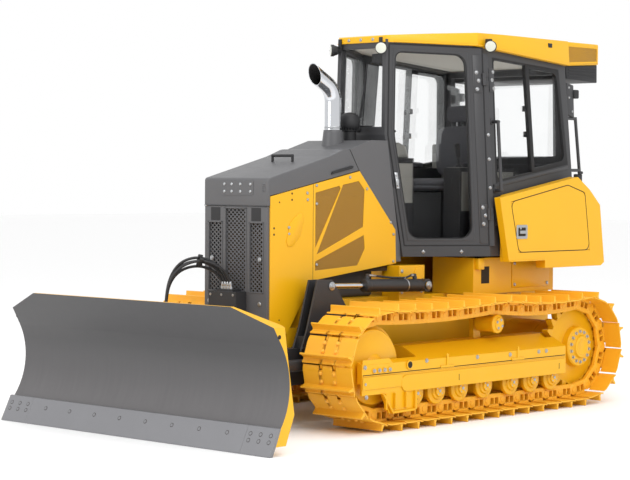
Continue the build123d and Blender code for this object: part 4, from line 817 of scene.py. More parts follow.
# ------------------------------------------------------------------ exhaust and air intake
# A polished elbow with a slanting mouth rises from a grey collar on the cowl, and a moulded
# pre-cleaner bowl stands behind it on its own neck.
pipe_x, pipe_radius, wall, bend_radius, turn = 0.324, 0.062, 0.004, 0.150, math.radians(62)
pipe_foot_z, bend_z, bend_steps, pipe_segments = 2.060, 2.308, 12, 40
stations = [(pipe_x, pipe_foot_z + (bend_z - pipe_foot_z) * n / 5, 0.0) for n in range(6)]
stations += [(pipe_x + bend_radius * (1 - math.cos(turn * n / bend_steps)),
              bend_z + bend_radius * math.sin(turn * n / bend_steps), turn * n / bend_steps)
             for n in range(1, bend_steps + 1)]
heading = Vector((math.sin(turn), 0, math.cos(turn)))
bend_end = Vector((stations[-1][0], 0, stations[-1][1]))
mouth_slant, mouth = Vector((0.968, 0, -0.252)), bend_end + heading * 0.1375
stations += [(*(bend_end + heading * 0.060).xz, turn), (*mouth.xz, turn)]
stack, rings = bmesh.new(), []
for radius, order in ((pipe_radius, stations), (pipe_radius - wall, stations[::-1])):
    for n, (x, z, swing) in enumerate(order):
        made = bmesh.ops.create_circle(stack, segments=pipe_segments, radius=radius, matrix=(
            Matrix.Translation((x, 0, z)) @ Matrix.Rotation(swing, 4, "Y")))
        if n == (len(order) - 1 if radius == pipe_radius else 0):
            for v in made["verts"]:
                v.co += heading * ((mouth - v.co).dot(mouth_slant) / heading.dot(mouth_slant))
        rings.append(made["verts"])
for n, (first, second) in enumerate(zip(rings, rings[1:] + rings[:1])):
    for k in range(pipe_segments):
        face = stack.faces.new((first[k - 1], first[k], second[k], second[k - 1]))
        face.material_index = int(n >= len(stations))
elbow = piece("exhaust_elbow", stack, chrome, sharp=60, replaces=("exhaust_stack",))
# the pipe's inner wall is coloured near black
elbow.data.materials.append(finish_of("dark inner wall", linear(22, 21, 21), linear(40, 38, 38),
                                      highlight_and_wear_amount=0.0, roughness=0.95, grain=300))
collar = bmesh.new()
spun(collar, [(pipe_x + r, 0, z) for z, r in (
    (1.932, 0.0), (1.932, 0.088), (1.972, 0.085), (2.020, 0.079), (2.080, 0.072), (2.098, 0.070),
    (2.102, 0.067), (2.103, 0.0))], (pipe_x, 0, 0), (0, 0, 1), pipe_segments)
piece("exhaust_collar", collar, grey, sharp=50)
band = bmesh.new()
round_bar(band, (pipe_x, 0, 2.112), (pipe_x, 0, 2.126), pipe_radius + 0.0022, segments=40,
          bevel=0.001)
round_bar(band, (pipe_x + 0.050, 0.052, 2.119), (pipe_x + 0.080, 0.024, 2.119), 0.005, segments=12)
cuboid(band, (pipe_x + 0.050, 0.028, 2.111), (pipe_x + 0.068, 0.048, 2.127), 0.002, 1)
piece("exhaust_band", band, steel_fitting)
bowl = bmesh.new()
intake = Vector((0.150, 0.010, 2.0253))
spun(bowl, [intake + Vector((r, 0, z)) for r, z in (
    (0, 0), (0.050, 0), (0.050, 0.066), (0.056, 0.070), (0.056, 0.082), (0.068, 0.090),
    (0.077, 0.106), (0.081, 0.127), (0.079, 0.150), (0.072, 0.178), (0.062, 0.192), (0.044, 0.204),
    (0.016, 0.2105), (0, 0.2118))], intake, (0, 0, 1), 40)
# vanes between the neck and the bowl's rim
for n in range(20):
    bmesh.ops.create_cube(bowl, size=1.0, matrix=(
        Matrix.Translation(intake + Vector((0, 0, 0.086)))
        @ Matrix.Rotation(2 * math.pi * n / 20, 4, "Z")
        @ Matrix.Translation((0.062, 0, 0)) @ Matrix.Diagonal((0.026, 0.003, 0.020, 1))))
piece("precleaner_bowl", bowl, black_plastic, sharp=50, replaces=("precleaner",))

# ------------------------------------------------------------------ cab shell
# A welded frame of rolled posts. Bonded rubber holds the panes, the doors hang on bolted
# hinges at the middle posts, and each side has a sliding window behind the door.
glass, shader = new_material("cab glass")
tree = glass.node_tree
smear = put(tree, "TexNoise", {"Vector": put(tree, "TexCoord").outputs["Object"], "Scale": 4.0,
                               "Detail": 5.0})
veil = put(tree, "MapRange", {"Value": smear.outputs["Fac"], "From Min": 0.35, "From Max": 0.75,
                              "To Min": 0.10, "To Max": 0.20})
feed(tree, shader, {"Base Color": (0.86, 0.90, 0.90, 1), "Roughness": 0.03, "IOR": 1.12,
                    "Transmission Weight": 1.0, "Alpha": veil.outputs["Result"]})
dress(glass, "cab_glass", "door_glass_left", "door_glass_right")
cab_grey = finish_of("cab enamel", linear(54, 54, 56), linear(120, 120, 124), highlight_and_wear_amount=0.5,
                     edge_width=0.005, drift=0.10, roughness=0.36, grain=240, dust=0.12)
dress(cab_grey, "cab_frame", "door_left", "door_right", "handrails")
seal_rubber = finish_of("window rubber", linear(20, 20, 22), linear(40, 40, 42), roughness=0.6,
                        grain=900, bump=0.0003)

# planes of the left door and side wall: along the wall, upwards, outwards
door_frame = Matrix(((-0.85173, -0.01282, 0.52383, -0.076), (0.52399, -0.02083, 0.85148, 0.33395),
                     (0.0, 0.99970, 0.02446, 1.24), (0, 0, 0, 1)))
side_frame = Matrix(((-1, 0, 0, -0.671), (0, -0.07077, 0.99749, 0.7),
                     (0, 0.99749, 0.07077, 1.24), (0, 0, 0, 1)))
flip_side = Matrix.Scale(-1, 4, (0, 1, 0))


def towards(corners, n):
    """A corner, and the directions from it to its neighbours."""
    here = Vector(corners[n])
    after = Vector(corners[(n + 1) % len(corners)])
    return here, (Vector(corners[n - 1]) - here).normalized(), (after - here).normalized()


def rounded(corners, radii, steps=6):
    """A polygon's corners replaced by arcs of these radii."""
    points = []
    for n in range(len(corners)):
        here, before, after = towards(corners, n)
        radius = radii[n] if isinstance(radii, (list, tuple)) else radii
        half_angle = before.angle(after) / 2
        reach = radius / math.tan(half_angle)
        centre = here + (before + after).normalized() * (radius / math.sin(half_angle))
        start, end = here + before * reach - centre, here + after * reach - centre
        sweep = start.angle_signed(end)
        for k in range(steps + 1):
            turned_start = start.copy()
            turned_start.rotate(Matrix.Rotation(-sweep * k / steps, 2))
            points.append(tuple(centre + turned_start))
    return points


def inset(corners, depth):
    """A convex outline moved inwards by a depth."""
    points = []
    for n in range(len(corners)):
        here, before, after = towards(corners, n)
        middle = (before + after).normalized()
        points.append(tuple(here + middle * (depth / math.sin(before.angle(after) / 2))))
    return points


def ring_frame(shape, frame_matrix, outer, inner, low, high):
    """Add a flat frame between two outlines on a plane, from one depth to another."""
    loops = []
    verts = []
    for outline in (outer, inner):
        ring = [shape.verts.new((u, v, low)) for u, v in outline]
        verts += ring
        loops += [shape.edges.new(pair) for pair in zip(ring, ring[1:] + ring[:1])]
    made = bmesh.ops.bridge_loops(shape, edges=loops)
    grown = bmesh.ops.extrude_face_region(shape, geom=made["faces"])
    far = [v for v in grown["geom"] if isinstance(v, bmesh.types.BMVert)]
    bmesh.ops.translate(shape, verts=far, vec=(0, 0, high - low))
    bmesh.ops.transform(shape, matrix=frame_matrix, verts=verts + far)


def patch(shape, frame_matrix, outline, low, high, bevel=0.0):
    """Add a plate with an outline on a plane, from one depth to another."""
    ring = [shape.verts.new((u, v, low)) for u, v in outline]
    far = thicken(shape, ring, (0, 0, high - low))
    bmesh.ops.transform(shape, matrix=frame_matrix, verts=ring + far)
    if bevel:
        round_edges(shape, ring + far, bevel, 2)


def studs(shape, frame_matrix, spots, low, radius, height=0.008):
    """Add round-headed bolts at places on a plane."""
    out = frame_matrix.to_3x3() @ Vector((0, 0, 1))
    for u, v in spots:
        centre = frame_matrix @ Vector((u, v, low))
        round_bar(shape, centre - out * 0.001, centre + out * 0.0025, radius * 1.25, segments=16)
        round_bar(shape, centre, centre + out * height, radius, radius * 0.75, 14, 0.0015)


def pair(build, material, body="root"):
    """Make the piece that a function builds for the left, and its mirror image for the right."""
    for _, name in hands:
        shape = bmesh.new()
        build(shape)
        if name == "right":
            bmesh.ops.transform(shape, matrix=flip_side, verts=shape.verts)
        piece(f"{build.__name__}_{name}", shape, material, body.replace("SIDE", name))


door_opening = [(0.05296, 0.045), (0.57481, 0.045), (0.51958, 1.45045), (-0.0603, 1.46445),
                (-0.0699, 0.83025)]
door_leaf = [(0.02506, 0.006), (0.69534, 0.006), (0.63693, 1.49245), (-0.09367, 1.50645),
             (-0.1039, 0.83025)]
corner_sweeps = (0.090, 0.095, 0.095, 0.060, 0.30)


def door_lining(shape):
    ring_frame(shape, door_frame, inset(door_opening, -0.004),
               rounded(inset(door_opening, 0.008), corner_sweeps), -0.045, 0.0035)
    patch(shape, door_frame, [(0.622, 0.020), (0.688, 0.020), (0.6330, 1.440), (0.558, 1.440)],
          -0.002, 0.0045, 0.003)


def door_rubber(shape):
    ring_frame(shape, door_frame, rounded(inset(door_opening, 0.007), corner_sweeps),
               rounded(inset(door_opening, 0.017), [r - 0.010 for r in corner_sweeps]),
               -0.040, 0.0015)
    ring_frame(shape, door_frame, inset(door_leaf, -0.0045), inset(door_leaf, 0.004),
               -0.040, 0.0010)


def door_latch(shape):
    patch(shape, door_frame, [(-0.0395, 0.430), (-0.016, 0.430), (-0.032, 0.550),
                              (-0.0585, 0.550)], -0.001, 0.012, 0.003)
    studs(shape, door_frame, [(-0.0300, 0.452), (-0.0410, 0.528)], 0.012, 0.006, 0.006)
    patch(shape, door_frame, [(-0.052, 0.470), (-0.024, 0.470), (-0.027, 0.500),
                              (-0.055, 0.500)], 0.011, 0.030, 0.005)


def door_hinge_plates(shape):
    for outline in ([(0.578, 1.155), (0.634, 1.155), (0.628, 1.335), (0.572, 1.335)],
                    [(0.631, 0.140), (0.685, 0.140), (0.679, 0.315), (0.625, 0.315)]):
        patch(shape, door_frame, outline, 0.003, 0.012, 0.003)


def door_hinge_bolts(shape):
    studs(shape, door_frame, [(0.5894, 1.3067), (0.6073, 1.2465), (0.5966, 1.1824),
                              (0.6423, 0.2906), (0.6638, 0.2312), (0.6492, 0.1671)], 0.012, 0.0115,
          0.009)


def sill_studs(shape):
    for u in (0.1724, 0.4750):
        patch(shape, door_frame, [(u - 0.016, -0.042), (u, -0.026), (u + 0.016, -0.042),
                                  (u, -0.058)], -0.001, 0.004, 0.001)
    studs(shape, door_frame, [(0.1724, -0.042), (0.4750, -0.042)], 0.004, 0.007, 0.006)
    studs(shape, door_frame, [(0.7016 - 0.0393 * v + 0.021, v) for v in (0.440, 0.656, 0.840)],
          0.0, 0.010)


def latch_striker(shape):
    patch(shape, door_frame, [(-0.0655, 0.440), (-0.0495, 0.440), (-0.0645, 0.535),
                              (-0.0795, 0.535)], -0.001, 0.008, 0.002)


for build, material in ((door_lining, cab_grey), (door_rubber, seal_rubber),
                        (door_latch, steel_fitting), (door_hinge_plates, cab_grey),
                        (door_hinge_bolts, steel_fitting)):
    pair(build, material, "door_SIDE")
pair(sill_studs, steel_fitting)
pair(latch_striker, black)

# the fixed pane and the slider behind it, given as x and z on the wall
def on_wall(places):
    """Places (x, z) as seen from the side, measured along and up the leaning wall."""
    return [(side_frame[0][3] - x, (z - side_frame[2][3]) / side_frame[2][1]) for x, z in places]


window = on_wall(((-0.815, 2.668), (-1.655, 2.612), (-1.722, 1.868), (-0.792, 1.722)))
slider = on_wall(((-1.216, 2.634), (-1.642, 2.606), (-1.707, 1.878), (-1.240, 1.803)))


def window_rubber(shape):
    ring_frame(shape, side_frame, inset(window, -0.004),
               rounded(inset(window, 0.011), (0.030, 0.085, 0.085, 0.050)), -0.030, 0.0015)
    ring_frame(shape, side_frame, rounded(slider, (0.010, 0.085, 0.085, 0.010)),
               rounded(inset(slider, 0.024), (0.010, 0.065, 0.065, 0.010)), -0.018, 0.006)
    patch(shape, side_frame, [(0.548, 1.396), (0.590, 1.396), (0.607, 0.570), (0.569, 0.576)],
          -0.028, 0.008, 0.003)


def window_sill(shape):
    patch(shape, side_frame, [(0.085, 0.440), (1.052, 0.5915), (1.052, 0.6165), (0.085, 0.4660)],
          -0.001, 0.009, 0.003)


def frame_hinges(shape):
    for low, high in ((0.150, 0.320), (1.170, 1.350)):
        patch(shape, side_frame, oblong(0.082, low, 0.140, high), -0.001, 0.010, 0.003)


def frame_bolts(shape):
    studs(shape, side_frame, [(0.1285, 1.3224), (0.1135, 1.2604), (0.1295, 1.1963),
                              (0.1236, 0.2968), (0.1114, 0.2351), (0.1287, 0.1676)], 0.010, 0.0115,
          0.009)


pair(window_rubber, seal_rubber)
pair(window_sill, cab_grey)
pair(frame_hinges, cab_grey)
pair(frame_bolts, steel_fitting)

# ------------------------------------------------------------------ roof and lamps
# A pressed roof skin with rolled edges, narrowing to the windscreen; round work lamps hang at
# its front and beside the middle posts on small brackets.
roof = bmesh.new()
plate(roof, [(0.0196, 2.7605), (0.0196, 2.8050), (-0.0004, 2.8130), (-0.300, 2.832),
             (-0.600, 2.8460), (-0.900, 2.8490), (-1.756, 2.8450), (-1.756, 2.6505),
             (-0.574, 2.7455)], -0.640, 0.640)
for sign in (1, -1):
    for place, out in (((-0.600, sign * 0.640, 2.70), (0, sign, 0.11)),
                       ((-0.591, sign * 0.640, 2.70), (0.359, sign * 0.559, 0.08)),
                       ((0.0196, sign * 0.222, 2.70), (0.059, sign * 0.0516, 0.004))):
        bmesh.ops.bisect_plane(roof, geom=roof.verts[:] + roof.edges[:] + roof.faces[:],
                               plane_co=place, plane_no=Vector(out).normalized(),
                               clear_outer=True)
        bmesh.ops.holes_fill(roof, edges=[e for e in roof.edges if e.is_boundary], sides=0)
bmesh.ops.remove_doubles(roof, verts=roof.verts, dist=1e-4)
bmesh.ops.recalc_face_normals(roof, faces=roof.faces)
bmesh.ops.bevel(roof, geom=[e for e in roof.edges if e.calc_face_angle(0) > math.radians(25)],
                offset=0.013, offset_type="OFFSET", segments=4, profile=0.5, affect="EDGES",
                material=-1, clamp_overlap=True)
piece("roof_skin", roof, paint, sharp=50, replaces=("cab_roof",))
roof_trim = bmesh.new()
for sign in (1, -1):
    # drip rail along the side, over the door and the window
    for start, end in (((-0.590, 0.6405, 2.752), (-1.752, 0.6405, 2.6575)),
                       ((-0.040, 0.283, 2.766), (-0.585, 0.637, 2.752))):
        round_bar(roof_trim, (start[0], sign * start[1], start[2]), (end[0], sign * end[1], end[2]),
                  0.0055, segments=10)
piece("roof_drip_rail", roof_trim, paint, sharp=60)
fascia = bmesh.new()
for y in (-0.120, 0.0, 0.120):
    hex_head(fascia, (0.0196, y, 2.784), (1, 0, 0), 0.018, 0.008)
piece("fascia_bolts", fascia, steel_fitting)
roof_recess = bmesh.new()
for sign in (1, -1):
    cuboid(roof_recess, (-1.535, sign * 0.6270, 2.782), (-1.485, sign * 0.6345, 2.815), 0.002, 1)
piece("roof_side_plates", roof_recess, black_plastic)

lens, shader = new_material("lamp lens")
tree = lens.node_tree
ribs = put(tree, "TexWave", {"Vector": put(tree, "TexCoord").outputs["Object"], "Scale": 60.0,
                             "Distortion": 0.0}, bands_direction="Y").outputs["Fac"]
relief = put(tree, "Bump", {"Height": ribs, "Distance": 0.002})
tone = put(tree, "MixRGB", {"Fac": ribs, "Color1": linear(196, 200, 186),
                            "Color2": linear(236, 238, 226)})
feed(tree, shader, {"Normal": relief.outputs["Normal"], "Base Color": tone.outputs["Color"],
                    "Roughness": 0.12, "Coat Weight": 1.0})
cases, lenses = bmesh.new(), bmesh.new()
fin_reach = Vector((0, 0, 0.030))
for side in (1, -1):
    for x, y, z, swing in ((0.060, 0.238, 2.712, 38), (-0.680, 0.690, 2.744, 30)):
        aim = Vector((math.cos(math.radians(swing)), side * math.sin(math.radians(swing)), 0.0))
        middle = Vector((x, side * y, z))
        round_bar(cases, middle - aim * 0.030, middle + aim * 0.002, 0.031, 0.0425, 24, 0.004)
        round_bar(cases, middle, middle + aim * 0.024, 0.0450, segments=32, bevel=0.003)
        across = Vector((-aim.y, aim.x, 0))
        for fin in range(-3, 4):
            behind = middle - aim * 0.026 + across * 0.010 * fin
            round_bar(cases, behind - fin_reach, behind + fin_reach, 0.003, segments=8)
        round_bar(lenses, middle + aim * 0.020, middle + aim * 0.0265, 0.0405, 0.0390, 32, 0.0015)
    # brackets up to the roof
    cuboid(cases, (0.0199, side * 0.205 - 0.015, 2.705), (0.0330, side * 0.205 + 0.015, 2.797),
           0.002, 1)
    cuboid(cases, (0.0290, side * 0.222 - 0.016, 2.700), (0.0400, side * 0.222 + 0.016, 2.724),
           0.002, 1)
    round_bar(cases, (0.046, side * 0.186, 2.712), (0.046, side * 0.290, 2.712), 0.007, segments=12)
    cuboid(cases, (-0.698, side * 0.665 - 0.0245, 2.766), (-0.672, side * 0.665 + 0.0245, 2.802),
           0.002, 1)
piece("lamp_cases", cases, black_plastic, replaces=("work_lamps",))
piece("lamp_lenses", lenses, lens)

# ------------------------------------------------------------------ air conditioner
# A folded yellow casing carries on the roof's line behind the cab, with a punched screen on each
# side. The condenser's black box hangs below it, with slats at its sides and back.
unit = bmesh.new()
plate(unit, [(-1.7575, 2.652), (-1.7575, 2.8440), (-1.900, 2.8440), (-2.204, 2.8440),
             (-2.211, 2.834), (-2.211, 2.679)], -0.600, 0.600, 0.006, 3)
for side in (1, -1):
    # the folded panel's step around the screen
    plate(unit, [(-1.775, 2.6600), (-1.775, 2.826), (-2.200, 2.826), (-2.200, 2.6850)],
          side * 0.5990, side * 0.6015, 0.001, 1)
piece("air_conditioner_case", unit, paint, sharp=50, replaces=("roof_unit",))
condenser = bmesh.new()
plate(condenser, [(-1.768, 2.651), (-2.209, 2.679), (-2.211, 2.533), (-1.794, 2.551)],
      -0.590, 0.590, 0.006, 2)
for side in (1, -1):
    for n in range(4):
        z = 2.575 + 0.023 * n
        plate(condenser, [(-1.815, z - 0.001), (-2.185, z - 0.005), (-2.185, z + 0.005),
                          (-1.815, z + 0.009)], side * 0.5895, side * 0.5935, 0.001, 1)
for n in range(9):
    y = -0.48 + 0.12 * n
    cuboid(condenser, (-2.2150, y - 0.045, 2.555), (-2.2090, y + 0.045, 2.660), 0.002, 1)
piece("condenser", condenser, black_plastic)
vents = bmesh.new()
for side in (1, -1):
    plate(vents, [(-1.790, 2.6780), (-1.790, 2.812), (-2.188, 2.812), (-2.188, 2.7020)],
          side * 0.6010, side * 0.6030, 0.0006, 1)
piece("vent_screens", vents, gold_sheet)
vent_trim = bmesh.new()
for side in (1, -1):
    plane = Matrix(((-1, 0, 0, 0), (0, 0, side, side * 0.6), (0, 1, 0, 0), (0, 0, 0, 1)))
    outline = [(1.782, 2.668), (2.196, 2.693), (2.196, 2.820), (1.782, 2.820)]
    ring_frame(vent_trim, plane, outline, inset(outline, 0.013), 0.0005, 0.0050)
    for u in (1.86, 1.96, 2.06, 2.13):
        round_bar(vent_trim, (-u, side * 0.602, 2.814), (-u, side * 0.607, 2.814), 0.004, segments=8)
piece("vent_trim", vent_trim, paint)
posts, rear_bolts, rear_lamps, rear_lenses = (bmesh.new() for _ in range(4))
for side in (1, -1):
    plate(posts, [(-1.770, 2.520), (-1.865, 2.500), (-1.880, 2.240), (-1.780, 2.270)],
          side * 0.560, side * 0.606, 0.006, 3)
    for x, z in ((-1.800, 2.480), (-1.803, 2.400), (-1.850, 2.290)):
        round_bar(rear_bolts, (x, side * 0.604, z), (x, side * 0.613, z), 0.011, 0.008, 14, 0.001)
    cuboid(rear_lamps, (-1.925, side * 0.585 - 0.035, 2.395), (-1.862, side * 0.585 + 0.035, 2.465),
           0.010, 3)
    cuboid(rear_lenses, (-1.929, side * 0.585 - 0.026, 2.405), (-1.9235, side * 0.585 + 0.026, 2.455),
           0.002, 1)
piece("rear_post_covers", posts, cab_grey)
piece("rear_post_bolts", rear_bolts, steel_fitting)
piece("rear_lamp_cases", rear_lamps, black_plastic)
piece("rear_lamp_lenses", rear_lenses, lens)

# ------------------------------------------------------------------ operator's station
# A seat with stitched cloth cushions on a moulded shell, between two consoles with padded
# armrests and grips. A low dash stands ahead of it, and a pale liner hides the ceiling.
cloth = finish_of("seat cloth", linear(74, 74, 78), linear(106, 106, 112), highlight_and_wear_amount=0.2,
                  edge_width=0.006, roughness=0.88, grain=1500, bump=0.0008, dust=0.1)
panel_plastic = finish_of("grey moulding", linear(118, 117, 112), linear(150, 150, 146),
                          highlight_and_wear_amount=0.3, roughness=0.6, grain=700, bump=0.0004)
headliner_vinyl = finish_of("pale vinyl", linear(206, 204, 196), linear(226, 224, 216),
                            roughness=0.8, grain=900, bump=0.0004)
strip_paint = finish_of("safety strip", linear(176, 186, 60), linear(210, 216, 120),
                        roughness=0.5, grain=500)
dress(black_plastic, "seat_base", "consoles")


def tube(shape, path, radius, closed=False, segments=12):
    """Add a round tube along points, closed into a loop or with flat ends."""
    path = [Vector(p) for p in path]
    last, side, rings = len(path) - 1, None, []
    for n, place in enumerate(path):
        behind = path[n - 1] if n or closed else place
        ahead = path[(n + 1) % len(path)] if n < last or closed else place
        heading = (ahead - behind).normalized()
        side = heading.orthogonal() if side is None else side
        side = (side - heading * side.dot(heading)).normalized()
        over = heading.cross(side)
        rings.append([shape.verts.new(place + radius * (side * math.cos(t) + over * math.sin(t)))
                      for t in (2 * math.pi * k / segments for k in range(segments))])
    for first, second in zip(rings, rings[1:] + (rings[:1] if closed else [])):
        for k in range(segments):
            shape.faces.new((first[k - 1], first[k], second[k], second[k - 1]))
    if not closed:
        shape.faces.new(rings[0][::-1])
        shape.faces.new(rings[-1])


def smooth(points, steps=6):
    """Points of a soft curve through some points."""
    points = [Vector(p) for p in points]
    made = []
    for n in range(len(points) - 1):
        a, b, c, d = (points[min(max(n + k, 0), len(points) - 1)] for k in (-1, 0, 1, 2))
        for k in range(steps):
            t = k / steps
            made.append(0.5 * (2 * b + (c - a) * t + (2 * a - 5 * b + 4 * c - d) * t ** 2
                               + (3 * b - a - 3 * c + d) * t ** 3))
    return made + [points[-1]]


def cushion(name, low, high, thin, seams=(), replaces=()):
    """A stuffed cushion: crowned faces, edges drawn in to a piped seam, stitched grooves."""
    shape = bmesh.new()
    bmesh.ops.create_cube(shape, size=2.0)
    bmesh.ops.subdivide_edges(shape, edges=shape.edges[:], cuts=19, use_grid_fill=True)
    middle, half = (Vector(high) + Vector(low)) / 2, (Vector(high) - Vector(low)) / 2
    flat = [k for k in range(3) if k != thin]
    for v in shape.verts:
        p = v.co / sum(abs(c) ** 5 for c in v.co) ** 0.2
        p[thin] *= 1 - 0.22 * (p[flat[0]] ** 2 + p[flat[1]] ** 2) / 2
        for seam in seams:
            p[thin] *= 1 - 0.16 * math.exp(-((p[1] - seam) / 0.045) ** 2)
        drawn = 1 - 0.035 * math.exp(-(p[thin] / 0.10) ** 2)
        for k in flat:
            p[k] *= drawn
        v.co = middle + Vector([p[k] * half[k] for k in range(3)])
    cover = piece(name, shape, cloth, sharp=60, replaces=replaces)
    piping, piping_steps = [], 72
    for k in range(piping_steps):
        turn = 2 * math.pi * k / piping_steps
        point = Vector((0, 0, 0))
        for axis, share in zip(flat, (math.cos(turn), math.sin(turn))):
            point[axis] = math.copysign(abs(share) ** 0.4, share) * 0.968 * half[axis]
        piping.append(middle + point)
    line = bmesh.new()
    tube(line, piping, 0.0038, closed=True, segments=8)
    piece(name + "_piping", line, black_plastic)


seat_seams, across_x, across_z = (-0.58, 0.58), 0, 2
cushion("seat_cushion", (-1.180, -0.235, 1.642), (-0.642, 0.235, 1.750), across_z, seat_seams,
        ("operator_seat",))
cushion("seat_back", (-1.249, -0.235, 1.764), (-1.132, 0.235, 2.165), across_x, seat_seams)
cushion("seat_headrest", (-1.246, -0.135, 2.200), (-1.156, 0.135, 2.329), across_x)
cushion("armrest_left", (-1.120, 0.312, 1.8305), (-0.800, 0.428, 1.880), across_z)
cushion("armrest_right", (-1.120, -0.428, 1.8305), (-0.800, -0.312, 1.880), across_z)
seat_bars = bmesh.new()
for side in (1, -1):
    round_bar(seat_bars, (-1.205, side * 0.055, 2.130), (-1.205, side * 0.055, 2.230), 0.007)
    round_bar(seat_bars, (-1.250, side * 0.120, 1.700), (-1.250, side * 0.210, 1.700), 0.016)
piece("seat_bars", seat_bars, steel_fitting)
grips, grip_boots = bmesh.new(), bmesh.new()
fold = 0.009
for side in (1, -1):
    foot = Vector((-0.700, side * 0.370, 1.829))
    for n in range(4):
        round_bar(grip_boots, foot + Vector((0, 0, fold * n)), foot + Vector((0, 0, fold * (n + 1))),
                  0.042 - 0.007 * n, 0.034 - 0.007 * n, 20, 0.002)
    for (x0, z0), (x1, z1), radius, end_radius, bevel in (
            ((0, 0.030), (0.004, 0.090), 0.008, 0.008, 0.0),
            ((0.004, 0.080), (0.016, 0.170), 0.017, 0.021, 0.004),
            ((0.016, 0.168), (0.024, 0.190), 0.026, 0.018, 0.004)):
        round_bar(grips, foot + Vector((x0, 0, z0)), foot + Vector((x1, 0, z1)), radius,
                  end_radius, 20, bevel)
piece("control_grips", grips, black_plastic)
piece("grip_boots", grip_boots, rubber)
panels = bmesh.new()
for side in (1, -1):
    cuboid(panels, (-0.780, side * 0.370 - 0.066, 1.8290), (-0.640, side * 0.370 + 0.066, 1.8335),
           0.002)
    cuboid(panels, (-1.280, side * 0.451 - 0.002, 1.500), (-0.640, side * 0.451 + 0.002, 1.800),
           0.0015, 1)
plate(panels, [(-0.362, 1.9005), (-0.170, 1.9005), (-0.186, 1.985), (-0.240, 2.020),
               (-0.325, 1.990)], -0.165, 0.165, 0.012, 3)
for side in (1, -1):
    cuboid(panels, (-0.355, side * 0.2015 - 0.002, 1.560), (-0.175, side * 0.2015 + 0.002, 1.860),
           0.0015, 1)
piece("console_panels", panels, panel_plastic)
display = bmesh.new()
patch(display, Matrix(((0, -0.318, -0.948, -0.347), (1, 0, 0, 0), (0, 0.948, -0.318, 1.945),
                       (0, 0, 0, 1))) @ Matrix.Scale(-1, 4, (1, 0, 0)),
      oblong(-0.085, -0.030, 0.085, 0.034), -0.001, 0.006, 0.002)
piece("dash_display", display, black_plastic)
pedals, pedal_arms = bmesh.new(), bmesh.new()
for y in (-0.100, 0.060):
    round_bar(pedal_arms, (-0.371, y, 1.330), (-0.450, y, 1.330), 0.010)
    cuboid(pedals, (-0.462, y - 0.045, 1.290), (-0.448, y + 0.045, 1.375), 0.003)
    for n in range(5):
        z = 1.297 + 0.016 * n
        cuboid(pedals, (-0.466, y - 0.040, z), (-0.461, y + 0.040, z + 0.006), 0.001, 1)
piece("pedal_pads", pedals, rubber)
piece("pedal_arms", pedal_arms, steel_fitting)
strips = bmesh.new()
for z, reach in ((1.600, 0.170), (1.520, 0.185)):
    cuboid(strips, (-0.376, -reach, z - 0.008), (-0.3695, reach, z + 0.008), 0.001, 1)
piece("dash_strips", strips, strip_paint)
liner_rows = ((-0.080, 0.185, 2.7517), (-0.574, 0.515, 2.7400), (-1.690, 0.515, 2.6503))
headliner = bmesh.new()
for first, second in zip(liner_rows, liner_rows[1:]):
    corners = [headliner.verts.new((x, side * y, z - drop)) for x, y, z in (first, second)
               for side in (1, -1) for drop in (0.002, 0.014)]
    bmesh.ops.convex_hull(headliner, input=corners)
piece("headliner", headliner, headliner_vinyl)
floor_z, mat_top_z = 1.2402, 1.2460
mat = bmesh.new()
corners = [mat.verts.new((x, side * y, z)) for x, y in ((-0.165, 0.310), (-0.660, 0.615),
                                                        (-1.690, 0.615))
           for side in (1, -1) for z in (floor_z, mat_top_z)]
bmesh.ops.convex_hull(mat, input=corners)
for n in range(12):
    y = -0.280 + 0.048 * n
    cuboid(mat, (-0.640, y, mat_top_z - 0.0005), (-0.390, y + 0.018, mat_top_z + 0.0025), 0.001, 1)
piece("floor_mat", mat, rubber)
shelves = bmesh.new()
cuboid(shelves, (-1.712, -0.590, 1.700), (-1.306, 0.590, 1.758), 0.012)
for side in (1, -1):
    cuboid(shelves, (-1.306, side * 0.532 - 0.078, 1.640), (-0.760, side * 0.532 + 0.078, 1.702),
           0.012)
cuboid(shelves, (-1.690, -0.500, 1.758), (-1.420, -0.060, 1.955), 0.020, 3)
cuboid(shelves, (-1.560, -0.515, 1.900), (-1.440, -0.475, 2.030), 0.018, 3)
piece("cab_shelves", shelves, panel_plastic)
# grab bar at the back, mirror on its stalk, dash lamp, and the sliding windows' catches
inside = bmesh.new()
tube(inside, smooth([(-1.735, -0.300, 2.160), (-1.690, -0.300, 2.160), (-1.680, -0.300, 2.140),
                     (-1.680, -0.300, 1.990), (-1.690, -0.300, 1.975), (-1.735, -0.300, 1.975)], 4),
     0.011)
cuboid(inside, (-0.050, 0.060, 2.610), (-0.038, 0.180, 2.680), 0.004)
round_bar(inside, (-0.044, 0.120, 2.675), (-0.060, 0.120, 2.745), 0.005)
cuboid(inside, (-0.050, -0.070, 2.092), (-0.006, 0.070, 2.142), 0.006)
for side in (1, -1):
    for v in (0.86, 1.06):
        place = side_frame @ Vector((0.578, v, -0.040))
        cuboid(inside, (place.x - 0.022, side * place.y - 0.012, place.z - 0.022),
               (place.x + 0.022, side * place.y + 0.012, place.z + 0.022), 0.004)
piece("cab_fittings", inside, black_plastic)
wiper = bmesh.new()
tube(wiper, smooth([(0.030, -0.010, 2.108), (0.036, 0.000, 2.150), (0.030, 0.020, 2.300),
                    (0.024, 0.035, 2.400)]), 0.0050)
tube(wiper, [(0.0245, 0.010, 2.200), (0.0145, 0.062, 2.600)], 0.0042, segments=8)
round_bar(wiper, (0.020, -0.010, 2.104), (0.040, -0.010, 2.104), 0.014, segments=16, bevel=0.002)
piece("screen_wiper", wiper, black_plastic)


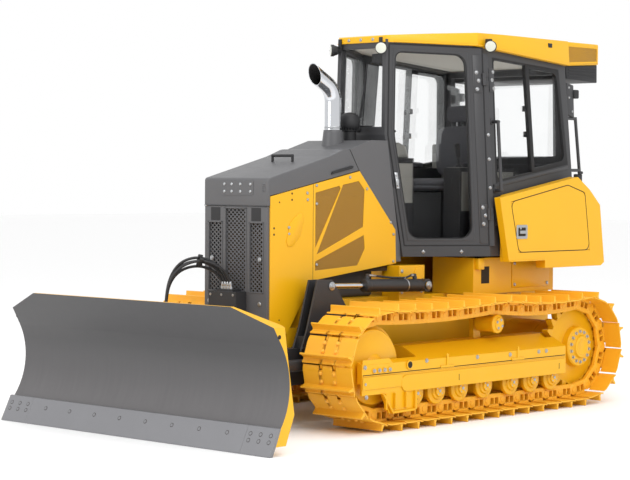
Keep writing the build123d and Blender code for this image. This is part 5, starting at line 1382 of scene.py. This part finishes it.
def inner_handles(shape):
    for u, low, high in ((0.000, 0.560, 0.860), (0.620, 0.700, 0.960)):
        tube(shape, [door_frame @ Vector(p) for p in smooth(
            [(u, low, -0.050), (u, low, -0.075), (u - 0.004, low + 0.020, -0.092),
             (u - 0.030, high - 0.020, -0.092), (u - 0.034, high, -0.075),
             (u - 0.034, high, -0.050)], 4)], 0.009)


pair(inner_handles, black_plastic, "door_SIDE")
rail_x = -0.770
rail_feet = bmesh.new()
for side in (1, -1):
    for z in (1.660, 2.180):
        wall_y = 0.700 - 0.07095 * (z - 1.253)
        for near, far, radius, end_radius, segments, bevel in (
                (0.0005, 0.0080, 0.026, 0.022, 24, 0.002), (0.052, 0.075, 0.0145, 0.010, 20, 0.003)):
            round_bar(rail_feet, (rail_x, side * (wall_y + near), z),
                      (rail_x, side * (wall_y + far), z), radius, end_radius, segments, bevel)
piece("rail_feet", rail_feet, cab_grey)

# ------------------------------------------------------------------ rear tank and service doors
# A folded sheet tank wraps the back of the cab. Each side has a flush door with round corners,
# hung on a hidden hinge along its rear edge and held by a plated paddle latch near its front.
dress(paint, "rear_tank", "service_door_left", "service_door_right")
tank_frame = Matrix(((-1, 0, 0, 0), (0, 0, 1, 0.8), (0, 1, 0, 0), (0, 0, 0, 1)))
service_outline = [(0.800, 1.575), (0.905, 1.187), (1.836, 1.187), (1.763, 1.645), (1.533, 1.705)]


# the gap round each service door, drawn as a ring of painted shade
def service_gap_shade(shape):
    ring_frame(shape, tank_frame, rounded(inset(service_outline, -0.0005),
                                          (0.050, 0.055, 0.055, 0.050, 0.080)),
               rounded(inset(service_outline, 0.0055), (0.045, 0.050, 0.050, 0.045, 0.075)),
               -0.012, 0.0012)


def service_latch(shape):
    outline = oblong(0.872, 1.292, 1.008, 1.398)
    ring_frame(shape, tank_frame, rounded(outline, 0.012, 4),
               rounded(inset(outline, 0.020), 0.006, 4), -0.001, 0.0045)
    patch(shape, tank_frame, oblong(0.912, 1.331, 0.990, 1.355), 0.0, 0.0075, 0.002)
    studs(shape, tank_frame, [(0.925, 1.372)], 0.0015, 0.007, 0.005)


# painted shade in the well behind the latch
def service_latch_well_shade(shape):
    patch(shape, tank_frame, oblong(0.888, 1.308, 0.992, 1.382), -0.001, 0.0012)


pair(service_gap_shade, painted_recess_shade)
pair(service_latch, steel_fitting, "service_door_SIDE")
pair(service_latch_well_shade, painted_recess_shade, "service_door_SIDE")
flanges = bmesh.new()
for side in (1, -1):
    plate(flanges, oblong(-0.790, 1.120, -1.238, 1.130), side * 0.790, side * 0.808, 0.002)
piece("tank_flanges", flanges, paint)
# the hold-down clamps on the upper edge, and the filler cap at the back
clamps = bmesh.new()
for side in (1, -1):
    cuboid(clamps, (-1.745, side * 0.765 - 0.022, 1.712), (-1.680, side * 0.765 + 0.022, 1.790),
           0.008)
    round_bar(clamps, (-1.735, side * 0.788, 1.800), (-1.690, side * 0.788, 1.800), 0.012,
              bevel=0.002)
round_bar(clamps, (-1.880, 0.250, 1.610), (-1.895, 0.250, 1.690), 0.055, 0.052, 28, 0.006)
piece("tank_cap_and_clamps", clamps, black_plastic)

# ------------------------------------------------------------------ hose fittings and manifold
# Crimped ferrules and nuts end each hose. A moulded clamp bands the four together at the top of
# their arch, and the manifold's cast block carries plated bolts.
dress(black, "hose_manifold")
manifold_ends, post_ends = bmesh.new(), bmesh.new()
for route in hose_routes:
    for shape, (near, far) in ((manifold_ends, route[:2]), (post_ends, route[:-3:-1])):
        start = Vector(near) / 1000
        along = (Vector(far) / 1000 - start).normalized()
        round_bar(shape, start - along * 0.0005, start + along * 0.016, 0.0165, segments=6)
        round_bar(shape, start + along * 0.014, start + along * 0.052, 0.0130, 0.0122, 20, 0.0015)
for y in (-0.140, -0.030, 0.085):
    for z in (0.812, 0.922):
        hex_head(manifold_ends, (1.434, y, z), (1, 0, 0), 0.020, 0.008)
piece("manifold_fittings", manifold_ends, steel_fitting)
piece("post_fittings", post_ends, steel_fitting, "push_frame")
clamp = bmesh.new()
half_band = Vector((0.80, -0.55, 0.20)).normalized() * 0.016
for hold in ((1.560, -0.118, 1.190), (1.5485, -0.142, 1.163), (1.570, -0.093, 1.168),
             (1.534, -0.165, 1.128)):
    round_bar(clamp, Vector(hold) - half_band, Vector(hold) + half_band, 0.0145, segments=20,
              bevel=0.002)
round_bar(clamp, (1.5525, -0.128, 1.128), (1.5525, -0.128, 1.200), 0.016, segments=16, bevel=0.003)
band = piece("hose_clamp", clamp, black_plastic, None)
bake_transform(band)

# ------------------------------------------------------------------ push frame and cylinders
# A welded frame carries the blade; two upright towers take the lift cylinders and the angle and
# tilt cylinders lie in front. Black enamel, chromed rods, plated pins.
dress(black, "push_frame", "yoke", "lift_barrel_left", "lift_barrel_right", "angle_barrel_left",
      "angle_barrel_right", "tilt_barrel")
dress(chrome, "lift_rod_left", "lift_rod_right", "angle_rod_left", "angle_rod_right", "tilt_rod")
lift_rear, lift_front = Vector((-0.192, 0.470, 0.952)), Vector((0.887, 0.470, 0.984))
lift_along = (lift_front - lift_rear).normalized()
tower_pins, bracket_pins = bmesh.new(), bmesh.new()
for side in (1, -1):
    for shape, place, reach in ((tower_pins, lift_front, 0.5172), (bracket_pins, lift_rear, 0.5062)):
        round_bar(shape, (place.x, side * (reach - 0.001), place.z),
                  (place.x, side * (reach + 0.006), place.z), 0.031, segments=28, bevel=0.002)
        cuboid(shape, (place.x - 0.024, side * (reach + 0.0085) - 0.003, place.z - 0.013),
               (place.x + 0.024, side * (reach + 0.0085) + 0.003, place.z + 0.013), 0.002)
        hex_head(shape, (place.x, side * (reach + 0.011), place.z), (0, side, 0), 0.026, 0.010)
piece("tower_pins", tower_pins, steel_fitting, "push_frame")
piece("bracket_pins", bracket_pins, steel_fitting)
welds = bmesh.new()
for side in (1, -1):
    for y in (0.430, 0.510):
        tube(welds, smooth([(x, side * (y + 0.009 * (1 if y > 0.47 else -1)), z) for x, z in (
            (0.745, 0.523), (0.900, 0.532), (1.050, 0.548), (1.190, 0.563))], 4), 0.0055,
             segments=8)
    tube(welds, [(1.4520, side * 0.380, 0.5620), (1.5380, side * 0.380, 0.5620)], 0.006, segments=8)
for z in (0.398, 0.502):
    tube(welds, [(1.5405, -0.255, z), (1.5405, 0.255, z)], 0.006, segments=8)
piece("push_frame_welds", welds, black, "push_frame")
pivot_caps = bmesh.new()
round_bar(pivot_caps, (1.784, 0, 0.5595), (1.784, 0, 0.5720), 0.060, segments=32, bevel=0.003)
hex_head(pivot_caps, (1.784, 0, 0.5720), (0, 0, 1), 0.040, 0.016)
for side in (1, -1):
    round_bar(pivot_caps, (0.880, side * 0.540, 0.4920), (0.880, side * 0.540, 0.5020), 0.027,
              segments=24, bevel=0.002)
    hex_head(pivot_caps, (0.880, side * 0.540, 0.5020), (0, 0, 1), 0.024, 0.010)
piece("frame_pin_caps", pivot_caps, steel_fitting, "push_frame")
for side, name in hands:
    def on_barrel(along, up=0.0, out=0.0):
        """A place beside this side's lift cylinder, measured from its rear pin."""
        place = lift_rear + lift_along * along + Vector((0, out, up))
        return Vector((place.x, side * place.y, place.z))

    body = f"lift_barrel_{name}"
    fittings, bright, line = bmesh.new(), bmesh.new(), bmesh.new()
    round_bar(fittings, on_barrel(0.648), on_barrel(0.6915), 0.0505, 0.0465, 36, 0.003)
    round_bar(fittings, on_barrel(0.060), on_barrel(0.096), 0.0478, segments=36, bevel=0.002)
    for along in (0.655, 0.120):
        round_bar(fittings, on_barrel(along, 0.036), on_barrel(along, 0.066), 0.017, segments=20,
                  bevel=0.002)
    for along in (0.232, 0.2355, 0.239):
        band = around(0, 0, 0.0480, [math.pi * k / 20 for k in range(40)])
        tube(bright, [on_barrel(along, up, out) for up, out in band], 0.0022, closed=True,
             segments=8)
    round_bar(bright, on_barrel(0.236, 0.046), on_barrel(0.236, 0.062), 0.008, segments=12)
    round_bar(bright, on_barrel(0.640, 0.074), on_barrel(0.560, 0.070), 0.0105, 0.0090, 20, 0.001)
    round_bar(bright, on_barrel(0.138, 0.074), on_barrel(0.165, 0.074), 0.0110, segments=6)
    for along, top, start, end in ((0.655, 0.082, 0.660, 0.638), (0.120, 0.084, 0.115, 0.140)):
        round_bar(fittings, on_barrel(along, 0.060), on_barrel(along, top), 0.0125, segments=16,
                  bevel=0.002)
        round_bar(fittings, on_barrel(start, 0.074), on_barrel(end, 0.074), 0.0125, segments=6)
    tube(line, smooth([on_barrel(0.565, 0.070), on_barrel(0.480, 0.063), on_barrel(0.380, 0.056),
                       on_barrel(0.236, 0.0555), on_barrel(0.200, 0.062),
                       on_barrel(0.162, 0.074)]), 0.0078)
    piece(f"lift_cylinder_fittings_{name}", fittings, black, body)
    piece(f"lift_cylinder_clamps_{name}", bright, steel_fitting, body)
    piece(f"lift_cylinder_line_{name}", line, rubber, body)
    fittings = bmesh.new()
    y = side * 0.540
    round_bar(fittings, (1.440, y, 0.450), (1.4965, y, 0.450), 0.0455, 0.0430, 32, 0.003)
    round_bar(fittings, (0.930, y, 0.450), (0.962, y, 0.450), 0.0445, segments=32, bevel=0.003)
    for x in (1.452, 0.975):
        round_bar(fittings, (x, y, 0.482), (x, y, 0.5020), 0.014, segments=16, bevel=0.002)
    piece(f"angle_cylinder_fittings_{name}", fittings, black, f"angle_barrel_{name}")
tilt_fittings = bmesh.new()
round_bar(tilt_fittings, (2.050, -0.070, 0.690), (2.050, -0.0185, 0.690), 0.0430, 0.0410, 32, 0.003)
round_bar(tilt_fittings, (2.050, -0.395, 0.690), (2.050, -0.365, 0.690), 0.0425, segments=32,
          bevel=0.003)
for y in (-0.085, -0.350):
    round_bar(tilt_fittings, (2.050, y, 0.722), (2.050, y, 0.744), 0.013, segments=16, bevel=0.002)
piece("tilt_cylinder_fittings", tilt_fittings, black, "tilt_barrel")

# ------------------------------------------------------------------ blade
# A rolled and welded steel blade. Its face is grey, lighter and streaked towards the foot, and its
# back, ends and top edge are yellow; hardened cutting edge and end bits are bolted along the foot.
blade_paint = finish_of("blade enamel", linear(228, 171, 12), linear(252, 212, 84),
                        highlight_and_wear_amount=0.3, edge_width=0.005, roughness=0.36, grain=240, dust=0.1)
tree = blade_paint.node_tree
shader = tree.nodes["Principled BSDF"]
enamel = shader.inputs["Base Color"].links[0].from_socket
spot = put(tree, "TexCoord").outputs
height = put(tree, "SeparateXYZ", {"Vector": spot["Object"]}).outputs["Z"]
forwards = put(tree, "SeparateXYZ", {"Vector": spot["Normal"]}).outputs["X"]
front_mask = put(tree, "MapRange", {"Value": forwards, "From Min": 0.40, "From Max": 0.45})
streak_map = put(tree, "Mapping", {"Vector": spot["Object"], "Scale": (1.0, 9.0, 0.9)})
streaks = put(tree, "TexNoise", {"Vector": streak_map.outputs["Vector"], "Scale": 3.0,
                                 "Detail": 6.0, "Roughness": 0.6})
# the face's grey grows lighter and streaked towards the foot
lower = put(tree, "MapRange", {"Value": height, "From Min": 0.60, "From Max": 0.16,
                               "To Min": 0.0, "To Max": 0.75}).outputs["Result"]
lighter_below = put(tree, "Math", {0: streaks.outputs["Fac"], 1: lower, 2: lower},
             operation="MULTIPLY_ADD")
face_grey = put(tree, "Mix", {"Factor": lighter_below.outputs["Value"], "A": linear(64, 63, 64),
                               "B": linear(92, 90, 91)}, data_type="RGBA")
surface = put(tree, "Mix", {"Factor": front_mask.outputs["Result"], "A": enamel,
                            "B": face_grey.outputs["Result"]}, data_type="RGBA")
feed(tree, shader, {"Base Color": surface.outputs["Result"]})
dress(blade_paint, "blade")
edge_steel = finish_of("edge steel", linear(124, 124, 127), linear(176, 176, 178),
                       highlight_and_wear_amount=0.6, drift=0.12, roughness=0.36, grain=300, bump=0.0004,
                       dust=0.2, metal=0.25)
dress(edge_steel, "cutting_edge")
# painted shade: dark rings round the plough bolts, and dark discs in the lifting eyes' holes
plough_bolts, bolt_recess_shade = bmesh.new(), bmesh.new()
edge_out, edge_down = Vector((0.8976, 0, 0.4407)), Vector((0.4407, 0, -0.8976))
edge_bolt_ys, end_bit_bolt_ys = (0.130, 0.390, 0.650, 0.910), (1.115, 1.205, 1.295)
for side in (1, -1):
    for y in edge_bolt_ys + end_bit_bolt_ys:
        for drop in ((0.052, 0.098) if y in end_bit_bolt_ys else (0.066,)):
            place = Vector((2.268, side * y, 0.175)) + edge_down * drop
            round_bar(bolt_recess_shade, place - edge_out * 0.002, place + edge_out * 0.0008, 0.0145,
                      segments=20)
            round_bar(plough_bolts, place - edge_out * 0.002, place + edge_out * 0.0020, 0.0115,
                      segments=20, bevel=0.0008)
piece("edge_bolts", plough_bolts, edge_steel, "blade")
piece("edge_bolt_recess_shade", bolt_recess_shade, painted_recess_shade, "blade")
eye_hole_shade, blade_welds = bmesh.new(), bmesh.new()
eye_x, eye_z, shoulder_z = 2.232, 0.745, 0.805
end_y = cad_box[1][1] - 0.038 * (eye_z / shoulder_z)
for side in (1, -1):
    round_bar(eye_hole_shade, (eye_x, side * (end_y - 0.004), eye_z),
              (eye_x, side * (end_y + 0.001), eye_z), 0.014, segments=24)
    for y in (0.980, 0.640, 0.290):
        for shift in (-0.010, 0.010):
            tube(blade_welds, smooth([(x - 0.002, side * y + shift, z) for x, z in (
                (2.184, 0.815), (2.152, 0.540), (2.118, 0.270))], 4), 0.0045, segments=8)
piece("blade_lifting_eye_shade", eye_hole_shade, painted_recess_shade, "blade")
piece("blade_welds", blade_welds, blade_paint, "blade")
